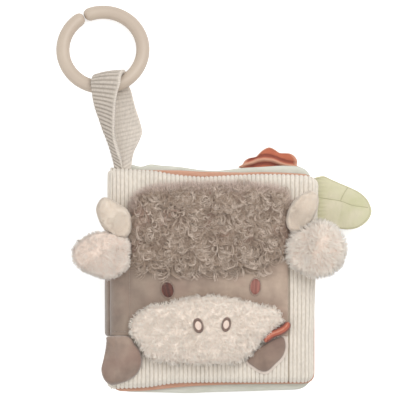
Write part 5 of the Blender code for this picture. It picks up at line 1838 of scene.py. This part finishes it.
def ring():
    """The split ring: its two blunt ends nearly meet."""
    tilt_up = np.array([0, math.cos(RING_TILT), -math.sin(RING_TILT)])
    across = np.array([1.0, 0, 0])
    middle = np.array([*RING_CENTRE, RING_TUBE + RING_RADIUS * math.sin(RING_TILT)])
    taper = RING_TUBE / RING_RADIUS
    start = RING_SPLIT + SPLIT_GAP / 2
    end = RING_SPLIT - SPLIT_GAP / 2 + math.tau
    near = np.linspace(0, 1, RING_END_STEPS)
    ends = taper * (1 - np.cos(near * math.pi / 2))
    sizes = np.sin(near * math.pi / 2) ** 0.75
    between = np.linspace(start + taper, end - taper, RING_STEPS)[1:-1]
    angles = np.concatenate([start + ends, between, (end - ends)[::-1]])
    size = np.concatenate([sizes, np.ones(len(between)), sizes[::-1]])
    size = np.maximum(size, 0.02) * RING_TUBE
    normal = np.cross(across, tilt_up)
    spoke = np.cos(angles)[:, None] * across + np.sin(angles)[:, None] * tilt_up
    around = np.linspace(0, math.tau, RING_SIDES, endpoint=False)[None, :, None]
    path = middle + RING_RADIUS * spoke
    loop = spoke[:, None] * np.cos(around) + normal[None, None] * np.sin(around)
    points = (path[:, None] + loop * size[:, None, None]).reshape(-1, 3)
    first = np.arange(RING_SIDES)
    caps = [first[None, ::-1], ((len(path) - 1) * RING_SIDES + first)[None]]
    skin = grid_faces(len(path), RING_SIDES, wrap=True)
    made = build("ring_body", points, [skin, *caps], RING_PLASTIC)
    ride_as(made, "ring", "ring_plastic", "ring")


def strap():
    """The ribbed strap: from its sewn end over the ring and back under it."""
    hold = np.array(STRAP_HOLD)

    def leg(left, right, sign):
        rows = np.array(STRAP_ROWS_PX)
        first = plan(rows[:, [left, 0]])
        second = plan(rows[:, [right, 0]])
        edges = rounded(np.column_stack([first, second]), 60, closed=False)
        along = np.linspace(0, 1, 60) ** 0.8
        apart = STRAP_SEWN_HALF + (STRAP_REACH - STRAP_SEWN_HALF) * along
        z = STRAP_BASE_Z + sign * apart + (hold[2] - STRAP_BASE_Z) * along
        return np.column_stack([edges[:, :2], z, edges[:, 2:], z])

    front = leg(1, 2, 1)
    back = leg(3, 4, -1)
    below_ring = np.clip((STRAP_FREE_Y - front[:, 1]) / 0.012, 0, 1)
    free = below_ring * np.clip((front[:, 1] - front[0, 1]) / 0.010, 0, 1)
    front[:, 2] -= STRAP_TILT * free
    front[:, 5] += STRAP_TILT * free
    turn = np.linspace(0, math.pi, 30)[1:-1]
    across = (1 - np.cos(turn)) / 2
    over = front[-1][None] * (1 - across)[:, None] + back[-1][None] * across[:, None]
    lift = STRAP_REACH * np.sin(turn)
    over[:, 1] += lift * 0.74
    over[:, 4] += lift * 1.10
    over[:, [2, 5]] = (hold[2] + STRAP_REACH * np.cos(turn))[:, None]
    line = evenly(np.concatenate([front, over, back[::-1]]), 460)
    first, second = line[:, :3], line[:, 3:]
    centre = (first + second) / 2
    heading = unit(np.gradient(centre, axis=0))
    side = unit(second - first)
    normal = unit(np.cross(side, heading))
    steps = np.linalg.norm(np.diff(centre, axis=0), axis=1)
    length = np.concatenate([[0], np.cumsum(steps)])
    share = np.linspace(0, 1, len(centre))
    inside = np.clip((share - 0.5) / 0.06, 0, 1)[:, None]
    places = np.linspace(-1, 1, 25)[None]
    lower = np.clip((np.abs(share - 0.5) - 0.06) / 0.15, 0, 1)[:, None]
    skew = 0.85 * lower * places + 0.10 * places**2
    waver = 0.10 * ripple(length[:, None], places * 0.006, 0.012, 61)
    rib = 1 - np.abs(((length[:, None] / STRAP_RIB + skew + waver) % 1) * 2 - 1) ** 2.0
    turned = bell(1 - places, 0.27)
    edge = turned + (0.35 + 0.65 * inside) * bell(1 + places, 0.10)
    relief = STRAP_RIB_HEIGHT * rib * (1 - edge)
    curl = STRAP_CURL * places**2 * (1 - inside)
    face = STRAP_CLOTH_HALF + relief * (1 - 0.75 * inside) + STRAP_EDGE * edge - curl
    seen_back = STRAP_CLOTH_HALF + curl + (relief * 0.5 + STRAP_BACK_EDGE * edge) * inside
    flat = first[:, None] + (second - first)[:, None] * (places[..., None] + 1) / 2
    top = flat + normal[:, None] * face[..., None]
    under = flat - normal[:, None] * seen_back[..., None]
    stitched = edge * (0.80 + 0.20 * np.cos(length[:, None] / STRAP_STITCH * math.tau))
    # Painted shade: the front leg, which faces away from the light, is darkened, each furrow more than its
    # crest, and the back leg less. The stitched edges keep the cloth's light colour.
    painted_leg_shade = (0.14 + 0.42 * rib) * (1 - inside) + (0.56 + 0.20 * rib) * inside
    shade = np.maximum(painted_leg_shade, 0.95 * stitched)
    made = slab("strap_cloth", top, under, STRAP_CLOTH, {"rib": np.clip(shade, 0, 1)})
    bend_as(made, "strap_flop", centre[len(centre) // 2], "strap_corduroy", "strap")


# Stage


def stage():
    """Pale floor, soft light and the camera over the book."""
    scene = bpy.context.scene
    half = FLOOR_SIZE / 2
    corners = np.array([[-half, -half, 0], [half, -half, 0], [half, half, 0], [-half, half, 0]])
    look = Look("pale_floor", 0.9, specular=0.0)
    look.shader.inputs["Base Color"].default_value = grey(FLOOR_GREY)
    rays = look.add("ShaderNodeLightPath")
    glow = look.add("ShaderNodeEmission", Color=grey(1), Strength=FLOOR_GLOW)
    both = look.add("ShaderNodeAddShader")
    look.tree.links.new(look.shader.outputs[0], both.inputs[0])
    look.tree.links.new(glow.outputs[0], both.inputs[1])
    choose = look.add("ShaderNodeMixShader", Fac=rays.outputs["Is Camera Ray"])
    look.tree.links.new(look.shader.outputs[0], choose.inputs[1])
    look.tree.links.new(both.outputs[0], choose.inputs[2])
    look.tree.links.new(choose.outputs[0], look.tree.nodes["Material Output"].inputs["Surface"])
    floor = build("floor", corners, [np.array([[0, 1, 2, 3]])], look.material, smooth=False)

    world = bpy.data.worlds.new("studio")
    scene.world = world
    world.use_nodes = True
    sky = world.node_tree.nodes["Background"].inputs
    sky["Color"].default_value = grey(1)
    sky["Strength"].default_value = SKY_STRENGTH

    for name, facts in LAMPS.items():
        lamp(name, *facts)

    focus_x = (PHOTO_SIZE / 2 - PHOTO_ORIGIN[0]) * PIXEL
    focus_y = (PHOTO_ORIGIN[1] - PHOTO_SIZE / 2) * PIXEL
    camera = bpy.data.objects.new("camera", bpy.data.cameras.new("camera"))
    scene.collection.objects.link(camera)
    camera.location = (focus_x, focus_y, CAMERA_DISTANCE)
    camera.data.sensor_width = SENSOR_WIDTH * 1000
    camera.data.lens = SENSOR_WIDTH * 1000 * (CAMERA_DISTANCE - CAMERA_FOCUS_Z) / (PHOTO_SIZE * PIXEL)
    camera.data.clip_end = 100
    scene.camera = camera
    scene.view_settings.view_transform = "Standard"


def lamp(name, place, size, power):
    """A square soft light aimed at the book."""
    made = bpy.data.objects.new(name, bpy.data.lights.new(name, "AREA"))
    bpy.context.scene.collection.objects.link(made)
    made.data.size = size
    made.data.energy = power
    made.location = place
    aim = Vector(LAMP_AIM) - Vector(place)
    made.rotation_mode = "QUATERNION"
    made.rotation_quaternion = aim.to_track_quat("-Z", "Y")


def main():
    """Makes each part of the book, then the floor, the light and the camera."""
    front_cover()
    back_cover()
    page(1)
    page(2)
    spine()
    face_panel()
    forelock()
    muzzle()
    eye("left")
    eye("right")
    ear("left", EAR_LEFT_PX)
    ear("right", EAR_RIGHT_PX)
    horn("left", HORN_LEFT_PX)
    horn("right", HORN_RIGHT_PX)
    hoof()
    mouth_leaf()
    petal()
    leaf()
    flower()
    ring()
    strap()
    stage()


main()
